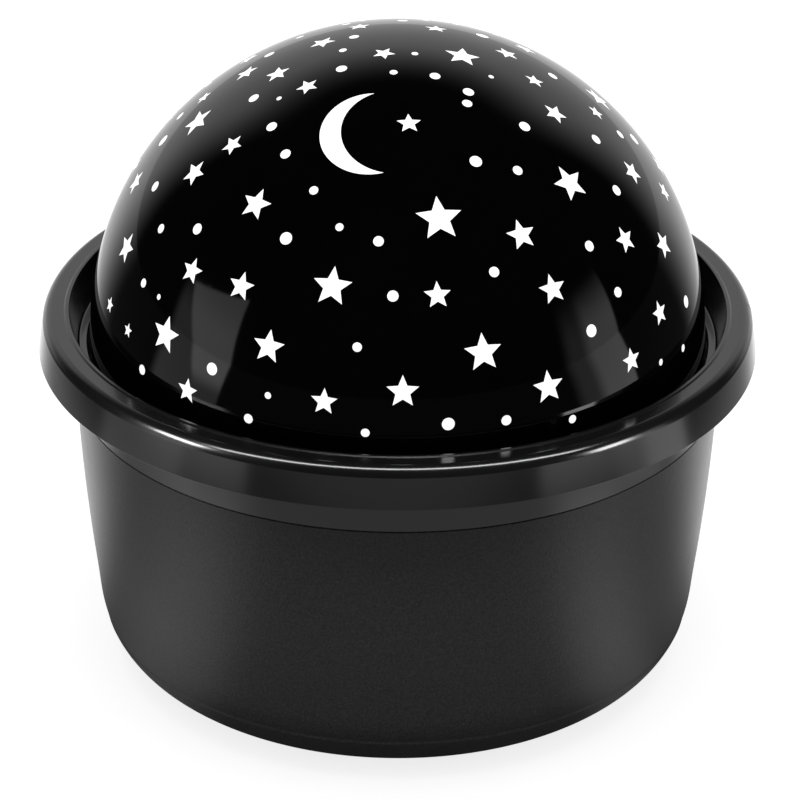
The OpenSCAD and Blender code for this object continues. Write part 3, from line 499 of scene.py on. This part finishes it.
# ---------------------------------------------------------------- dome and milky windows
# Facets round the dome, the key notches in its lower edge, and how far the plugs stay inside its surface
SEGS = 432
KEY_ANGLES, KEY_HALF_W, KEY_H = (90, 210, 330), 2.15, 2.5
PLUG_SINK = 0.02


def window_basis(turn, up):
    """Turns a flat outline so that it faces out of the dome at that turn and height."""
    c, s = math.cos(math.radians(turn)), math.sin(math.radians(turn))
    cu, su = math.cos(math.radians(up)), math.sin(math.radians(up))
    return np.array([[c, s, 0], [-s * su, c * su, cu], [s * cu, -c * cu, su]])


def star_outline(r, grow):
    """Five-pointed star whose sides all move out by grow."""
    out = []
    for k in range(10):
        a = math.radians(90 + 36 * k)
        rr = (r if k % 2 == 0 else r * STAR_RATIO) * (1 + grow / (r * 0.42))
        out.append((rr * math.cos(a), rr * math.sin(a)))
    return out


def moon_outline(grow):
    """Crescent: the outer circle less the bite circle, sampled along both arcs."""
    r, b, d = MOON_R + grow, BITE_R - grow, BITE_OFF
    x = (r * r - b * b + d * d) / (2 * d)
    y = math.sqrt(r * r - x * x)
    a0, a1 = math.atan2(y, x), 2 * math.pi - math.atan2(y, x)
    outer = [(r * math.cos(a), r * math.sin(a)) for a in np.linspace(a0, a1, 72)]
    b0, b1 = 2 * math.pi - math.atan2(y, x - d), math.atan2(y, x - d)
    inner = [(d + b * math.cos(a), b * math.sin(a)) for a in np.linspace(b0, b1, 72)][1:-1]
    t = math.radians(MOON_TILT)
    return [(px * math.cos(t) - py * math.sin(t), px * math.sin(t) + py * math.cos(t)) for px, py in outer + inner]


def window_parts(low, high, grow=0.0):
    """A prism for every star, dot and the crescent; the lower belt is repeated on the rear half."""
    parts = []

    def add(turn, up, outline):
        parts.append(prism("w", outline, low, high, window_basis(turn, up), (0, 0, DOME_Z)))

    for half in (0, 180):
        for t, u, r in BELT_STARS:
            add(t + half, u, star_outline(r, grow))
        for t, u, r in BELT_DOTS:
            add(t + half, u, circle(r + grow, 28))
    for t, u, r in CAP_STARS:
        add(t, u, star_outline(r, grow))
    for t, u, r in CAP_DOTS:
        add(t, u, circle(r + grow, 28))
    add(MOON_TURN, MOON_UP, moon_outline(grow))
    return parts


def dome_outline(r, low):
    """Half circle on a short straight skirt that reaches down to low."""
    pts = [(0.0, low), (r, low), (r, (low + DOME_Z) / 2)]
    pts += [(r * math.cos(a), DOME_Z + r * math.sin(a)) for a in np.linspace(0, math.pi / 2, 112)[:-1]]
    return pts + [(0.0, DOME_Z + r)]


def dome_normals(radii):
    """True normals on the spheres of those radii and the skirts below them."""
    def analytic(p, fn):
        rel = p - np.array([0, 0, DOME_Z])
        rel[:, 2] = np.maximum(rel[:, 2], 0)
        dist = np.linalg.norm(rel, axis=1)
        n = rel / np.maximum(dist, 1e-9)[:, None]
        on = np.zeros(len(p), bool)
        for r in radii:
            on |= np.abs(dist - r) < 0.012
        along = np.einsum("ij,ij->i", n, fn)
        side = np.where(along >= 0, 1.0, -1.0)[:, None]
        return n * side, on & (np.abs(along) > 0.9)
    return analytic


dome = solid_of_outline("dome_cover", dome_outline(DOME_R, DOME_LOW), SEGS)
boolean(dome, solid_of_outline("hollow", dome_outline(DOME_R - DOME_WALL, DOME_LOW - 1), SEGS), "DIFFERENCE")
cut = window_parts(DOME_R - DOME_WALL - 1.2, DOME_R + 1.8)
for a in KEY_ANGLES:
    c, s = math.cos(math.radians(a)), math.sin(math.radians(a))
    key = np.array([[c, s, 0], [-s, c, 0], [0, 0, 1]])
    slot = round_box(DOME_R - DOME_WALL - 1, -KEY_HALF_W, DOME_R + 1, KEY_HALF_W, 0.3)
    cut.append(prism("k", slot, DOME_LOW - 1, DOME_LOW + KEY_H, key))
boolean(dome, joined("windows", cut), "DIFFERENCE")
shade(dome, dome_normals((DOME_R, DOME_R - DOME_WALL)), 30)
finish_piece(dome, "dome", ["dome_shell"], [M["dome"]])

glowing_milk = solid_of_outline("milky_diffuser", dome_outline(MILKY_R, MILKY_LOW), SEGS)
flush = solid_of_outline("flush", dome_outline(DOME_R - PLUG_SINK, DOME_LOW + 0.5), SEGS)
boolean(flush, joined("plugs", window_parts(MILKY_R - 0.6, DOME_R + 1.8, -0.012)), "INTERSECT")
boolean(glowing_milk, flush, "UNION")
boolean(glowing_milk, solid_of_outline("hollow", dome_outline(MILKY_R - MILKY_WALL, MILKY_LOW - 1), SEGS), "DIFFERENCE")
shade(glowing_milk, dome_normals((MILKY_R, DOME_R - PLUG_SINK, MILKY_R - MILKY_WALL)), 30)
finish_piece(glowing_milk, "dome", ["dome_diffuser"], [M["glowing_milk"], M["plug"]])
# The plugs, which stand out of the diffuser, have the second material
mid = np.zeros(len(glowing_milk.data.polygons) * 3)
glowing_milk.data.polygons.foreach_get("center", mid)
mid = mid.reshape(-1, 3)
mid[:, 2] = np.maximum(mid[:, 2] - DOME_Z * MM, 0)
is_plug = np.linalg.norm(mid, axis=1) > (MILKY_R + 0.05) * MM
glowing_milk.data.polygons.foreach_set("material_index", is_plug.astype(np.int32))


# ---------------------------------------------------------------- rim housing
# Outline (radius, height, fillet), anticlockwise from the spigot's foot
CREST_R, CREST_Z, CREST_W, CREST_H = 62.3, 66.102, 2.0, 2.798
crest = [(CREST_R + CREST_W * math.cos(math.radians(t)), CREST_Z + CREST_H * math.sin(math.radians(t)))
         for t in np.linspace(22, 90, 35)]
rim_corners = [
    (SPIGOT_IN_R, TAB_LOW, 0.1), (SPIGOT_R, TAB_LOW, 0.1), (SPIGOT_R, SEAM_Z, 0.05),
    (COLLAR_R, SEAM_Z, 0.12), (COLLAR_R, 61.8, 0.4), (60.9, 64.8, 0.4), (60.9, 66.7, 0.3), (62.7, 66.7, 0.2),
    (63.3, RIM_LOW_Z, 0.2), (RIM_R, RIM_LOW_Z, 0.2)]
rim_corners += [(r, z, 0.12 if k == 0 else 0.0) for k, (r, z) in enumerate(crest)]
rim_corners += [
    (60.3, RIM_Z, 0.1), (60.0, RIM_Z + 0.22, 0.12), (59.4, RIM_Z + 0.22, 0.2), (57.8, WELL_Z, 0.4),
    (56.25, WELL_Z, 0.25), (56.25, 61.2, 0.1), (56.6, 61.2, 0.05), (56.6, 55.0, 0.1), (SPIGOT_IN_R, 55.0, 0.1)]
pts, nrm = rounded(rim_corners)
rim, rim_n = revolve("rim_cover", pts, nrm, 480)
rim.data.polygons.foreach_set("use_smooth", np.ones(len(rim.data.polygons), bool))
rim.data.normals_split_custom_set_from_vertices([tuple(v) for v in rim_n])
finish_piece(rim, "base", ["rim_housing"], [M["rim"]])

# Four tabs for the housing screws, on the inside of the spigot
tab = [(POST_R + TAB_R * math.cos(t), TAB_R * math.sin(t)) for t in np.linspace(math.pi / 2, 3 * math.pi / 2, 25)]
tab += [(55.5, -TAB_R), (55.5, TAB_R)]
turned = [[(x * math.cos(a) - y * math.sin(a), x * math.sin(a) + y * math.cos(a)) for x, y in tab]
          for a in POST_ANGLES]
tabs = joined("rim_tabs", [prism("t", outline, TAB_LOW, TAB_HIGH) for outline in turned])
holes = [prism("h", circle(1.5, 32, POST_R * math.cos(a), POST_R * math.sin(a)), 51, 55) for a in POST_ANGLES]
boolean(tabs, joined("tab_holes", holes), "DIFFERENCE")
shade(tabs, crisp, 35)
finish_piece(tabs, "base", (), [M["rim"]])


# ---------------------------------------------------------------- bowl
def wall_r(z):
    """Outer radius of the bowl's wall, which widens and bulges a little."""
    s = (z - FLOOR_Z - CORNER_H) / (SEAM_Z - FLOOR_Z - CORNER_H)
    return WAIST_R + TAPER * s + 4 * BULGE * s * (1 - s)


def corner_line(steps, inset=0.0, width=CORNER_W, low=FLOOR_Z):
    """The bowl's lower corner, from under it to the wall."""
    out = []
    for u in np.linspace(math.pi / 2, 0.02, steps):
        cx = 1 - abs(math.cos(u)) ** (2 / CORNER_POWER)
        cy = 1 - abs(math.sin(u)) ** (2 / CORNER_POWER)
        out.append((WAIST_R - inset - width * cx, low + (CORNER_H - (low - FLOOR_Z)) * cy))
    return out


def bowl_line():
    """Outer outline: floor, corner and wall, smoothed where corner and wall meet, with a rounded top edge."""
    pts = [(0.0, FLOOR_Z), (20.0, FLOOR_Z)] + corner_line(72)
    pts += [(wall_r(z), z) for z in np.linspace(FLOOR_Z + CORNER_H, SEAM_Z - 0.3, 40)]
    # Round the join, the radius becomes a weighted mean over the heights nearby
    ring = np.array(pts)
    join_low, join_high, spread = 9, 32, 2.2
    fine = np.linspace(2, 50, 400)
    fine_r = np.interp(fine, ring[:, 1], ring[:, 0])
    for k in np.nonzero((ring[:, 1] > join_low) & (ring[:, 1] < join_high))[0]:
        w = np.exp(-((fine - ring[k, 1]) / spread) ** 2 / 2)
        pts[k] = ((w * fine_r).sum() / w.sum(), pts[k][1])
    top, fillet = wall_r(SEAM_Z), 0.28
    pts += [(top - fillet * (1 - math.cos(a)), SEAM_Z - fillet * (1 - math.sin(a)))
            for a in np.linspace(0.2, math.pi / 2, 6)]
    return pts


outer_line = bowl_line()
bowl = solid_of_outline("bowl_cover", outer_line + [(0.0, SEAM_Z)], 480)
WALL, FLOOR_T = 2.0, 2.2
inner_line = [(0.0, FLOOR_Z + FLOOR_T)] + corner_line(24, WALL, CORNER_W - 0.8, FLOOR_Z + FLOOR_T)
inner_line += [(wall_r(z) - WALL, z) for z in np.linspace(FLOOR_Z + CORNER_H, SEAM_Z, 12)]
inner_line += [(56.5, SEAM_Z + 1), (0.0, SEAM_Z + 1)]
skin = bpy.data.objects.new("skin", bowl.data.copy())
bpy.context.scene.collection.objects.link(skin)
boolean(bowl, solid_of_outline("hollow", inner_line, 240), "DIFFERENCE")

# Inside: screw posts, the niche's box, the battery bay with its screw ends, posts of the control board
POSTS = [(POST_R * math.cos(a), POST_R * math.sin(a)) for a in POST_ANGLES]
added = [prism("p", circle(5, 48, x, y), 0.9, 49.9) for x, y in POSTS]
added.append(prism("n", round_box(-NICHE_X - NICHE_WALL, NICHE_LOW - NICHE_WALL, NICHE_X + NICHE_WALL,
                                  NICHE_HIGH + NICHE_WALL, 1.0), -65, -(NICHE_Y - NICHE_WALL), ALONG_Y))
extras = joined("extras", added)
boolean(extras, skin, "INTERSECT")
boolean(bowl, extras, "UNION")
boolean(bowl, joined("bay", [prism("b", round_box(-26.4, -29.3, 26.4, 29.3, 0.8), 0.82, 15.7)]), "UNION")
ends = [prism("e", circle(5, 40, 0, y), 1.5, BAY_TOP) for y in (-DOOR_SCREW_Y, DOOR_SCREW_Y)]
boolean(bowl, joined("ends", ends), "UNION")
stands = [(-17, 22.8), (17, 22.8), (-17, 44.3), (17, 44.3)]
boolean(bowl, joined("stands", [prism("o", circle(2.2, 32, x, z), -49.2, -BOARD_Y, ALONG_Y)
                                for x, z in stands]), "UNION")

# Holes from below: post screws and their heads, foot pockets, battery room, the door's recess with its ears
cuts = [prism("s", circle(1.65, 32, x, y), -1, 51) for x, y in POSTS]
boolean(bowl, joined("shanks", cuts), "DIFFERENCE")
cuts = [prism("h", circle(3.1, 48, x, y), -1, 42.4) for x, y in POSTS]
cuts += [prism("f", circle(3.85, 48, x, y), -1, 1.8) for x in (-33.5, 33.5) for y in (-18, 18)]
boolean(bowl, joined("heads", cuts), "DIFFERENCE")
RECESS_TOP, EAR_R = 2.9, 5.2
boolean(bowl, joined("room", [prism("r", round_box(-22.6, -25.5, 22.6, 25.5, 0.5), -1, BAY_TOP)]), "DIFFERENCE")
boolean(bowl, joined("recess", [prism("d", round_box(-24.8, -27.7, 24.8, 27.7, 0.6), -1, RECESS_TOP)]), "DIFFERENCE")
for y in (-DOOR_SCREW_Y, DOOR_SCREW_Y):
    arm = round_box(-EAR_R, min(0, y), EAR_R, max(0, y), 0.1)
    boolean(bowl, joined("ear", [prism("e", circle(EAR_R, 48, 0, y), -1, RECESS_TOP)]), "DIFFERENCE")
    boolean(bowl, joined("arm", [prism("a", arm, -1, RECESS_TOP)]), "DIFFERENCE")
    boolean(bowl, joined("pilot", [prism("q", circle(0.95, 24, 0, y), 0, 13.2)]), "DIFFERENCE")

# The niche at the back, holes for buttons and socket, pilot holes of the board's posts
boolean(bowl, joined("niche", [prism("n", round_box(-NICHE_X, NICHE_LOW, NICHE_X, NICHE_HIGH, 1.6), -65, -NICHE_Y,
                                     ALONG_Y)]), "DIFFERENCE")
cuts = [prism("b", circle(BUTTON_R + 0.08, 64, x, BUTTON_Z), -53, -47.5, ALONG_Y)
        for x in (-BUTTON_PITCH, 0, BUTTON_PITCH)]
cuts.append(prism("u", round_box(-4.8, USB_Z - 1.95, 4.8, USB_Z + 1.95, 0.9), -53, -47.5, ALONG_Y))
boolean(bowl, joined("controls", cuts), "DIFFERENCE")
boolean(bowl, joined("pilots", [prism("p", circle(0.95, 24, x, z), -48, -BOARD_Y + 1, ALONG_Y)
                                for x, z in stands]), "DIFFERENCE")

# The outer outline again, finely, as a table of normals by angle round a point inside the bowl
EYE_Z = 40
line = np.array(outer_line)
dense = np.array([line[i] + (line[i + 1] - line[i]) * t
                  for i in range(len(line) - 1) for t in np.linspace(0, 1, 8)[:-1]])
step = np.gradient(dense, axis=0)
for k in range(len(step)):
    if np.linalg.norm(step[k]) < 1e-9:
        step[k] = step[k - 1]
dense_n = np.stack([step[:, 1], -step[:, 0]], axis=1)
dense_n /= np.linalg.norm(dense_n, axis=1)[:, None]
key_ang = np.arctan2(dense[:, 1] - EYE_Z, dense[:, 0])
order = np.argsort(key_ang)
key_ang, dense, dense_n = key_ang[order], dense[order], dense_n[order]


def bowl_normals(p, fn):
    """True normals on the outer surface of the bowl."""
    r = np.hypot(p[:, 0], p[:, 1])
    ang = np.arctan2(p[:, 2] - EYE_Z, r)
    nr, nz = np.interp(ang, key_ang, dense_n[:, 0]), np.interp(ang, key_ang, dense_n[:, 1])
    lr, lz = np.interp(ang, key_ang, dense[:, 0]), np.interp(ang, key_ang, dense[:, 1])
    size = np.maximum(np.hypot(nr, nz), 1e-9)
    n = np.stack([p[:, 0] / np.maximum(r, 1e-9) * nr / size, p[:, 1] / np.maximum(r, 1e-9) * nr / size,
                  nz / size], axis=1)
    on = np.hypot(r - lr, p[:, 2] - lz) < 0.03
    return n, on & (np.einsum("ij,ij->i", n, fn) > 0.85)


shade(bowl, bowl_normals, 35)
finish_piece(bowl, "base", ["base_shell"], [M["bowl"]])


# ---------------------------------------------------------------- buttons with rounded, slightly dished faces
for k, name in ((-1, "light"), (0, "colour"), (1, "spin")):
    front, dish = 52.2, 0.28
    outline = [(0.0, 46.3), (2.0, 46.3), (2.0, 47.7), (5.1, 47.7), (5.3, 47.9), (5.3, 48.7), (5.1, 48.9),
               (BUTTON_R, 48.9)]
    outline += [(BUTTON_R - 0.5 * (1 - math.cos(a)), front - 0.5 * (1 - math.sin(a)))
                for a in np.linspace(0, math.pi / 2, 8)]
    outline += [(r, front - dish * (1 - (r / 3.3) ** 2)) for r in (3.3, 2.8, 2.2, 1.6, 1.0, 0.5)]
    outline.append((0.0, front - dish))
    b = solid_of_outline("button_" + name + "_cap", outline, 96)
    b.data.transform(Matrix.Translation((BUTTON_PITCH * k, 0, BUTTON_Z)) @ Matrix.Rotation(math.radians(-90), 4, "X"))
    shade(b, crisp, 50)
    finish_piece(b, "button_" + name, ["button_" + name], [M["button"]])


# ---------------------------------------------------------------- floor, world, lights, camera
# Colour of the floor, the light it adds for the camera, the world's soft light, and how bright the painted
# glow of the floor in front is in reflections
FLOOR, FLOOR_LIFT, AMBIENT, FRONT_FLOOR_GLOW = 0.5, 0.8, 0.6, 0.36
# Rises and falls that lie outside what can occur: heights in degrees, metres, degrees round
BELOW, NEVER_DEG, NEVER_FAR, NEVER_ROUND = (-80.0, -79.0), (90.0, 91.0), (90.0, 99.0), (400.0, 401.0)


def span(nt, value, rise, fall):
    """1 between rise[1] and fall[0], smoothly 0 outside rise[0] and fall[1]."""
    out = None
    for (a, b), (lo, hi) in ((rise, (0.0, 1.0)), (fall, (1.0, 0.0))):
        m = nt.nodes.new("ShaderNodeMapRange")
        m.interpolation_type = "SMOOTHSTEP"
        m.inputs["From Min"].default_value, m.inputs["From Max"].default_value = a, b
        m.inputs["To Min"].default_value, m.inputs["To Max"].default_value = lo, hi
        lnk(nt, value, m.inputs["Value"])
        out = m.outputs["Result"] if out is None else math_node(nt, "MULTIPLY", out, m.outputs["Result"])
    return out


def bearing(nt, vector):
    """Degrees round from the front, to the right positive, and height of a direction or a place."""
    sep = nt.nodes.new("ShaderNodeSeparateXYZ")
    lnk(nt, vector, sep.inputs[0])
    ang = math_node(nt, "ARCTAN2", sep.outputs["X"], math_node(nt, "MULTIPLY", sep.outputs["Y"], -1.0))
    return math_node(nt, "MULTIPLY", ang, 180 / math.pi), sep


def chain(nt, kind, parts):
    """One math operation over all the parts."""
    out = parts[0]
    for p in parts[1:]:
        out = math_node(nt, kind, out, p)
    return out


def total(nt, *parts):
    return chain(nt, "ADD", parts)


def product(nt, *parts):
    return chain(nt, "MULTIPLY", parts)


def panels(nt, ang, rise):
    """Strength of the two soft boxes, left and right, by bearing and height in degrees."""
    slant = math_node(nt, "ADD", ang, math_node(nt, "MULTIPLY", rise, 0.55))
    top = math_node(nt, "SUBTRACT", rise, math_node(nt, "MULTIPLY", ang, 0.27))
    left = product(nt, span(nt, slant, (-80.5, -78.5), NEVER_DEG), span(nt, ang, (-170.0, -169.0), (-62.6, -61.4)),
                   span(nt, rise, (-13.0, -6.0), NEVER_DEG), span(nt, top, (-90.0, -89.0), (37.8, 39.2)), 0.8)
    dim = product(nt, span(nt, ang, (-93.0, -88.5), (-62.6, -61.4)), span(nt, rise, BELOW, (6.0, 19.0)), 0.36)
    right = product(nt, span(nt, ang, (70.0, 76.0), (87.6, 88.8)), span(nt, rise, BELOW, (6.0, 21.0)), 0.66)
    inner = product(nt, span(nt, ang, (61.0, 67.0), (87.6, 88.8)), span(nt, rise, BELOW, (4.0, 22.0)), 0.3)
    return total(nt, left, dim, right, inner)


def seen_rays(nt):
    """Output of a Light Path node, and a value that is 1 for rays from the camera, also through clear parts."""
    path = nt.nodes.new("ShaderNodeLightPath")
    return path, math_node(nt, "MAXIMUM", path.outputs["Is Camera Ray"], path.outputs["Is Transmission Ray"])


def mixed(nt, factor, first, second):
    mix = nt.nodes.new("ShaderNodeMixShader")
    lnk(nt, factor, mix.inputs[0])
    lnk(nt, first, mix.inputs[1])
    lnk(nt, second, mix.inputs[2])
    return mix.outputs[0]


def floor_glow(nt):
    """Painted light on the floor, seen only in reflections: a glow by bearing and distance from the middle in metres.
    """
    coord = nt.nodes.new("ShaderNodeTexCoord").outputs["Object"]
    ang, _ = bearing(nt, coord)
    size = nt.nodes.new("ShaderNodeVectorMath")
    size.operation = "LENGTH"
    lnk(nt, coord, size.inputs[0])
    reach = size.outputs["Value"]
    turned = math_node(nt, "ABSOLUTE", ang)
    # Close to the object, painted light: a pale glowing patch at each side and a wide one behind
    close = total(nt, product(nt, span(nt, ang, (-88.0, -58.0), (-54.0, -36.0)), 0.6),
                  product(nt, span(nt, ang, (40.0, 54.0), (58.0, 78.0)), 0.65),
                  product(nt, span(nt, turned, (90.0, 122.0), NEVER_ROUND), 1.5))
    close = product(nt, close, span(nt, reach, (0.04, 0.085), NEVER_FAR))
    # Farther out, painted light: the soft boxes, carried on below the horizon, and the bright back
    dip = math_node(nt, "ARCTAN2", 0.078, math_node(nt, "SUBTRACT", reach, 0.04))
    distant = total(nt, panels(nt, ang, product(nt, dip, -180 / math.pi)),
                    product(nt, span(nt, turned, (118.0, 146.0), NEVER_ROUND), 0.9), 0.03)
    blend = span(nt, reach, (0.13, 0.19), NEVER_FAR)
    return total(nt, product(nt, distant, blend),
                 product(nt, close, math_node(nt, "SUBTRACT", 1.0, blend)),
                 product(nt, span(nt, reach, (0.04, 0.085), (0.2, 0.26)), FRONT_FLOOR_GLOW))


def add_floor():
    """A large pale floor: white to the camera apart from shadows, floor_glow in reflections, clear from below."""
    fl = make_mesh("floor", [(-30, -30, 0), (30, -30, 0), (30, 30, 0), (-30, 30, 0)], [(0, 1, 2, 3)])
    mat = bpy.data.materials.new("floor_pale")
    mat.use_nodes = True
    nt = mat.node_tree
    b = nt.nodes["Principled BSDF"]
    b.inputs["Base Color"].default_value = (FLOOR, FLOOR, FLOOR, 1)
    b.inputs["Roughness"].default_value = 0.9
    b.inputs["Specular IOR Level"].default_value = 0.0
    path, seen = seen_rays(nt)
    glow = nt.nodes.new("ShaderNodeEmission")
    lnk(nt, product(nt, seen, FLOOR_LIFT), glow.inputs["Strength"])
    lifted = nt.nodes.new("ShaderNodeAddShader")
    lnk(nt, b.outputs[0], lifted.inputs[0])
    lnk(nt, glow.outputs[0], lifted.inputs[1])
    # Painted light: in reflections the floor shows floor_glow's pattern as emission instead of its lit surface
    floor_painted_glow = nt.nodes.new("ShaderNodeEmission")
    lnk(nt, floor_glow(nt), floor_painted_glow.inputs["Strength"])
    top = mixed(nt, path.outputs["Is Glossy Ray"], lifted.outputs[0], floor_painted_glow.outputs[0])
    from_below = nt.nodes.new("ShaderNodeNewGeometry").outputs["Backfacing"]
    clear = nt.nodes.new("ShaderNodeBsdfTransparent").outputs[0]
    lnk(nt, mixed(nt, from_below, top, clear), nt.nodes["Material Output"].inputs["Surface"])
    fl.data.materials.append(mat)


def background(nt, strength):
    node = nt.nodes.new("ShaderNodeBackground")
    if isinstance(strength, float):
        node.inputs["Strength"].default_value = strength
    else:
        lnk(nt, strength, node.inputs["Strength"])
    return node.outputs[0]


def add_world():
    """White to the camera, the soft boxes and a bright back in reflections, soft light for the rest."""
    world = bpy.data.worlds.new("studio")
    bpy.context.scene.world = world
    world.use_nodes = True
    nt = world.node_tree
    nt.nodes.clear()
    out = nt.nodes.new("ShaderNodeOutputWorld")
    ang, sep = bearing(nt, nt.nodes.new("ShaderNodeTexCoord").outputs["Generated"])
    height = sep.outputs["Z"]
    turned = math_node(nt, "ABSOLUTE", ang)
    back = product(nt, span(nt, turned, (122.0, 146.0), NEVER_ROUND),
                   span(nt, height, (-2.0, -1.9), (0.42, 0.8)), 0.8)
    boxes = panels(nt, ang, product(nt, math_node(nt, "ARCSINE", height), 180 / math.pi))
    path, seen = seen_rays(nt)
    unseen = mixed(nt, path.outputs["Is Glossy Ray"], background(nt, AMBIENT),
                   background(nt, total(nt, back, boxes, 0.012)))
    lnk(nt, mixed(nt, seen, unseen, background(nt, 1.0)), out.inputs["Surface"])


def lamp(name, azimuth, elevation, distance, width, height, radiance, only=(), spared=()):
    """An area lamp at that bearing and height in degrees, distance and sizes in metres, which looks at the object.

    It lights only the pieces in only, or all but those in spared.
    """
    light = bpy.data.lights.new(name, "AREA")
    light.shape = "RECTANGLE"
    light.size, light.size_y = width, height
    light.energy = radiance * math.pi * width * height
    ob = bpy.data.objects.new(name, light)
    a, e = math.radians(azimuth), math.radians(elevation)
    away = Vector((math.sin(a) * math.cos(e), -math.cos(a) * math.cos(e), math.sin(e)))
    ob.location = Vector((0, 0, 0.06)) + away * distance
    ob.rotation_mode = "QUATERNION"
    ob.rotation_quaternion = away.to_track_quat("Z", "Y")
    bpy.context.scene.collection.objects.link(ob)
    ob.visible_camera = False
    if only or spared:
        group = bpy.data.collections.new(name + "_group")
        for p in only or spared:
            group.objects.link(p)
        ob.light_linking.receiver_collection = group
        if spared:
            for c in group.collection_objects:
                c.light_linking.link_state = "EXCLUDE"


add_floor()
add_world()
lamp("rim_left", -70, 24, 0.9, 0.24, 0.2, 22.0, only=[rim])
lamp("rim_right", 66, 11, 0.9, 0.2, 0.2, 15.0, only=[rim])
lamp("rim_front", 0, 67, 0.9, 1.7, 0.15, 12.0, only=[rim, bowl])
lamp("skirt_front", 0, -6, 0.3, 0.6, 0.05, 0.25, only=[rim])
lamp("skirt_left", -60, -6, 0.3, 0.2, 0.05, 0.9, only=[rim])
lamp("skirt_right", 58, -6, 0.3, 0.2, 0.05, 0.95, only=[rim])
lamp("overhead", 0, 84, 1.2, 0.9, 0.9, 1.6, spared=[dome, rim])

# The photo's camera, solved from it: place and target in mm, focal length and shifts in its pixels, roll in degrees
CAM_PLACE, CAM_TARGET = Vector((0, -594.88, 356.61)) * MM, Vector((0, 0, 48.51)) * MM
PIXELS, FOCAL, SHIFT_X, SHIFT_Y, ROLL, SENSOR = 800, 3647.39, 2.905, 0.59, 0.417, 36.0
cam_data = bpy.data.cameras.new("camera")
cam = bpy.data.objects.new("camera", cam_data)
bpy.context.scene.collection.objects.link(cam)
cam.location = CAM_PLACE
cam.rotation_mode = "QUATERNION"
level = (CAM_PLACE - CAM_TARGET).to_track_quat("Z", "Y")
cam.rotation_quaternion = level @ Matrix.Rotation(math.radians(ROLL), 4, "Z").to_quaternion()
cam_data.sensor_width = SENSOR
cam_data.lens = FOCAL / PIXELS * SENSOR
cam_data.shift_x, cam_data.shift_y = SHIFT_X / PIXELS, SHIFT_Y / PIXELS
cam_data.clip_start, cam_data.clip_end = 0.05, 50
bpy.context.scene.camera = cam
bpy.context.scene.view_settings.view_transform = "Standard"
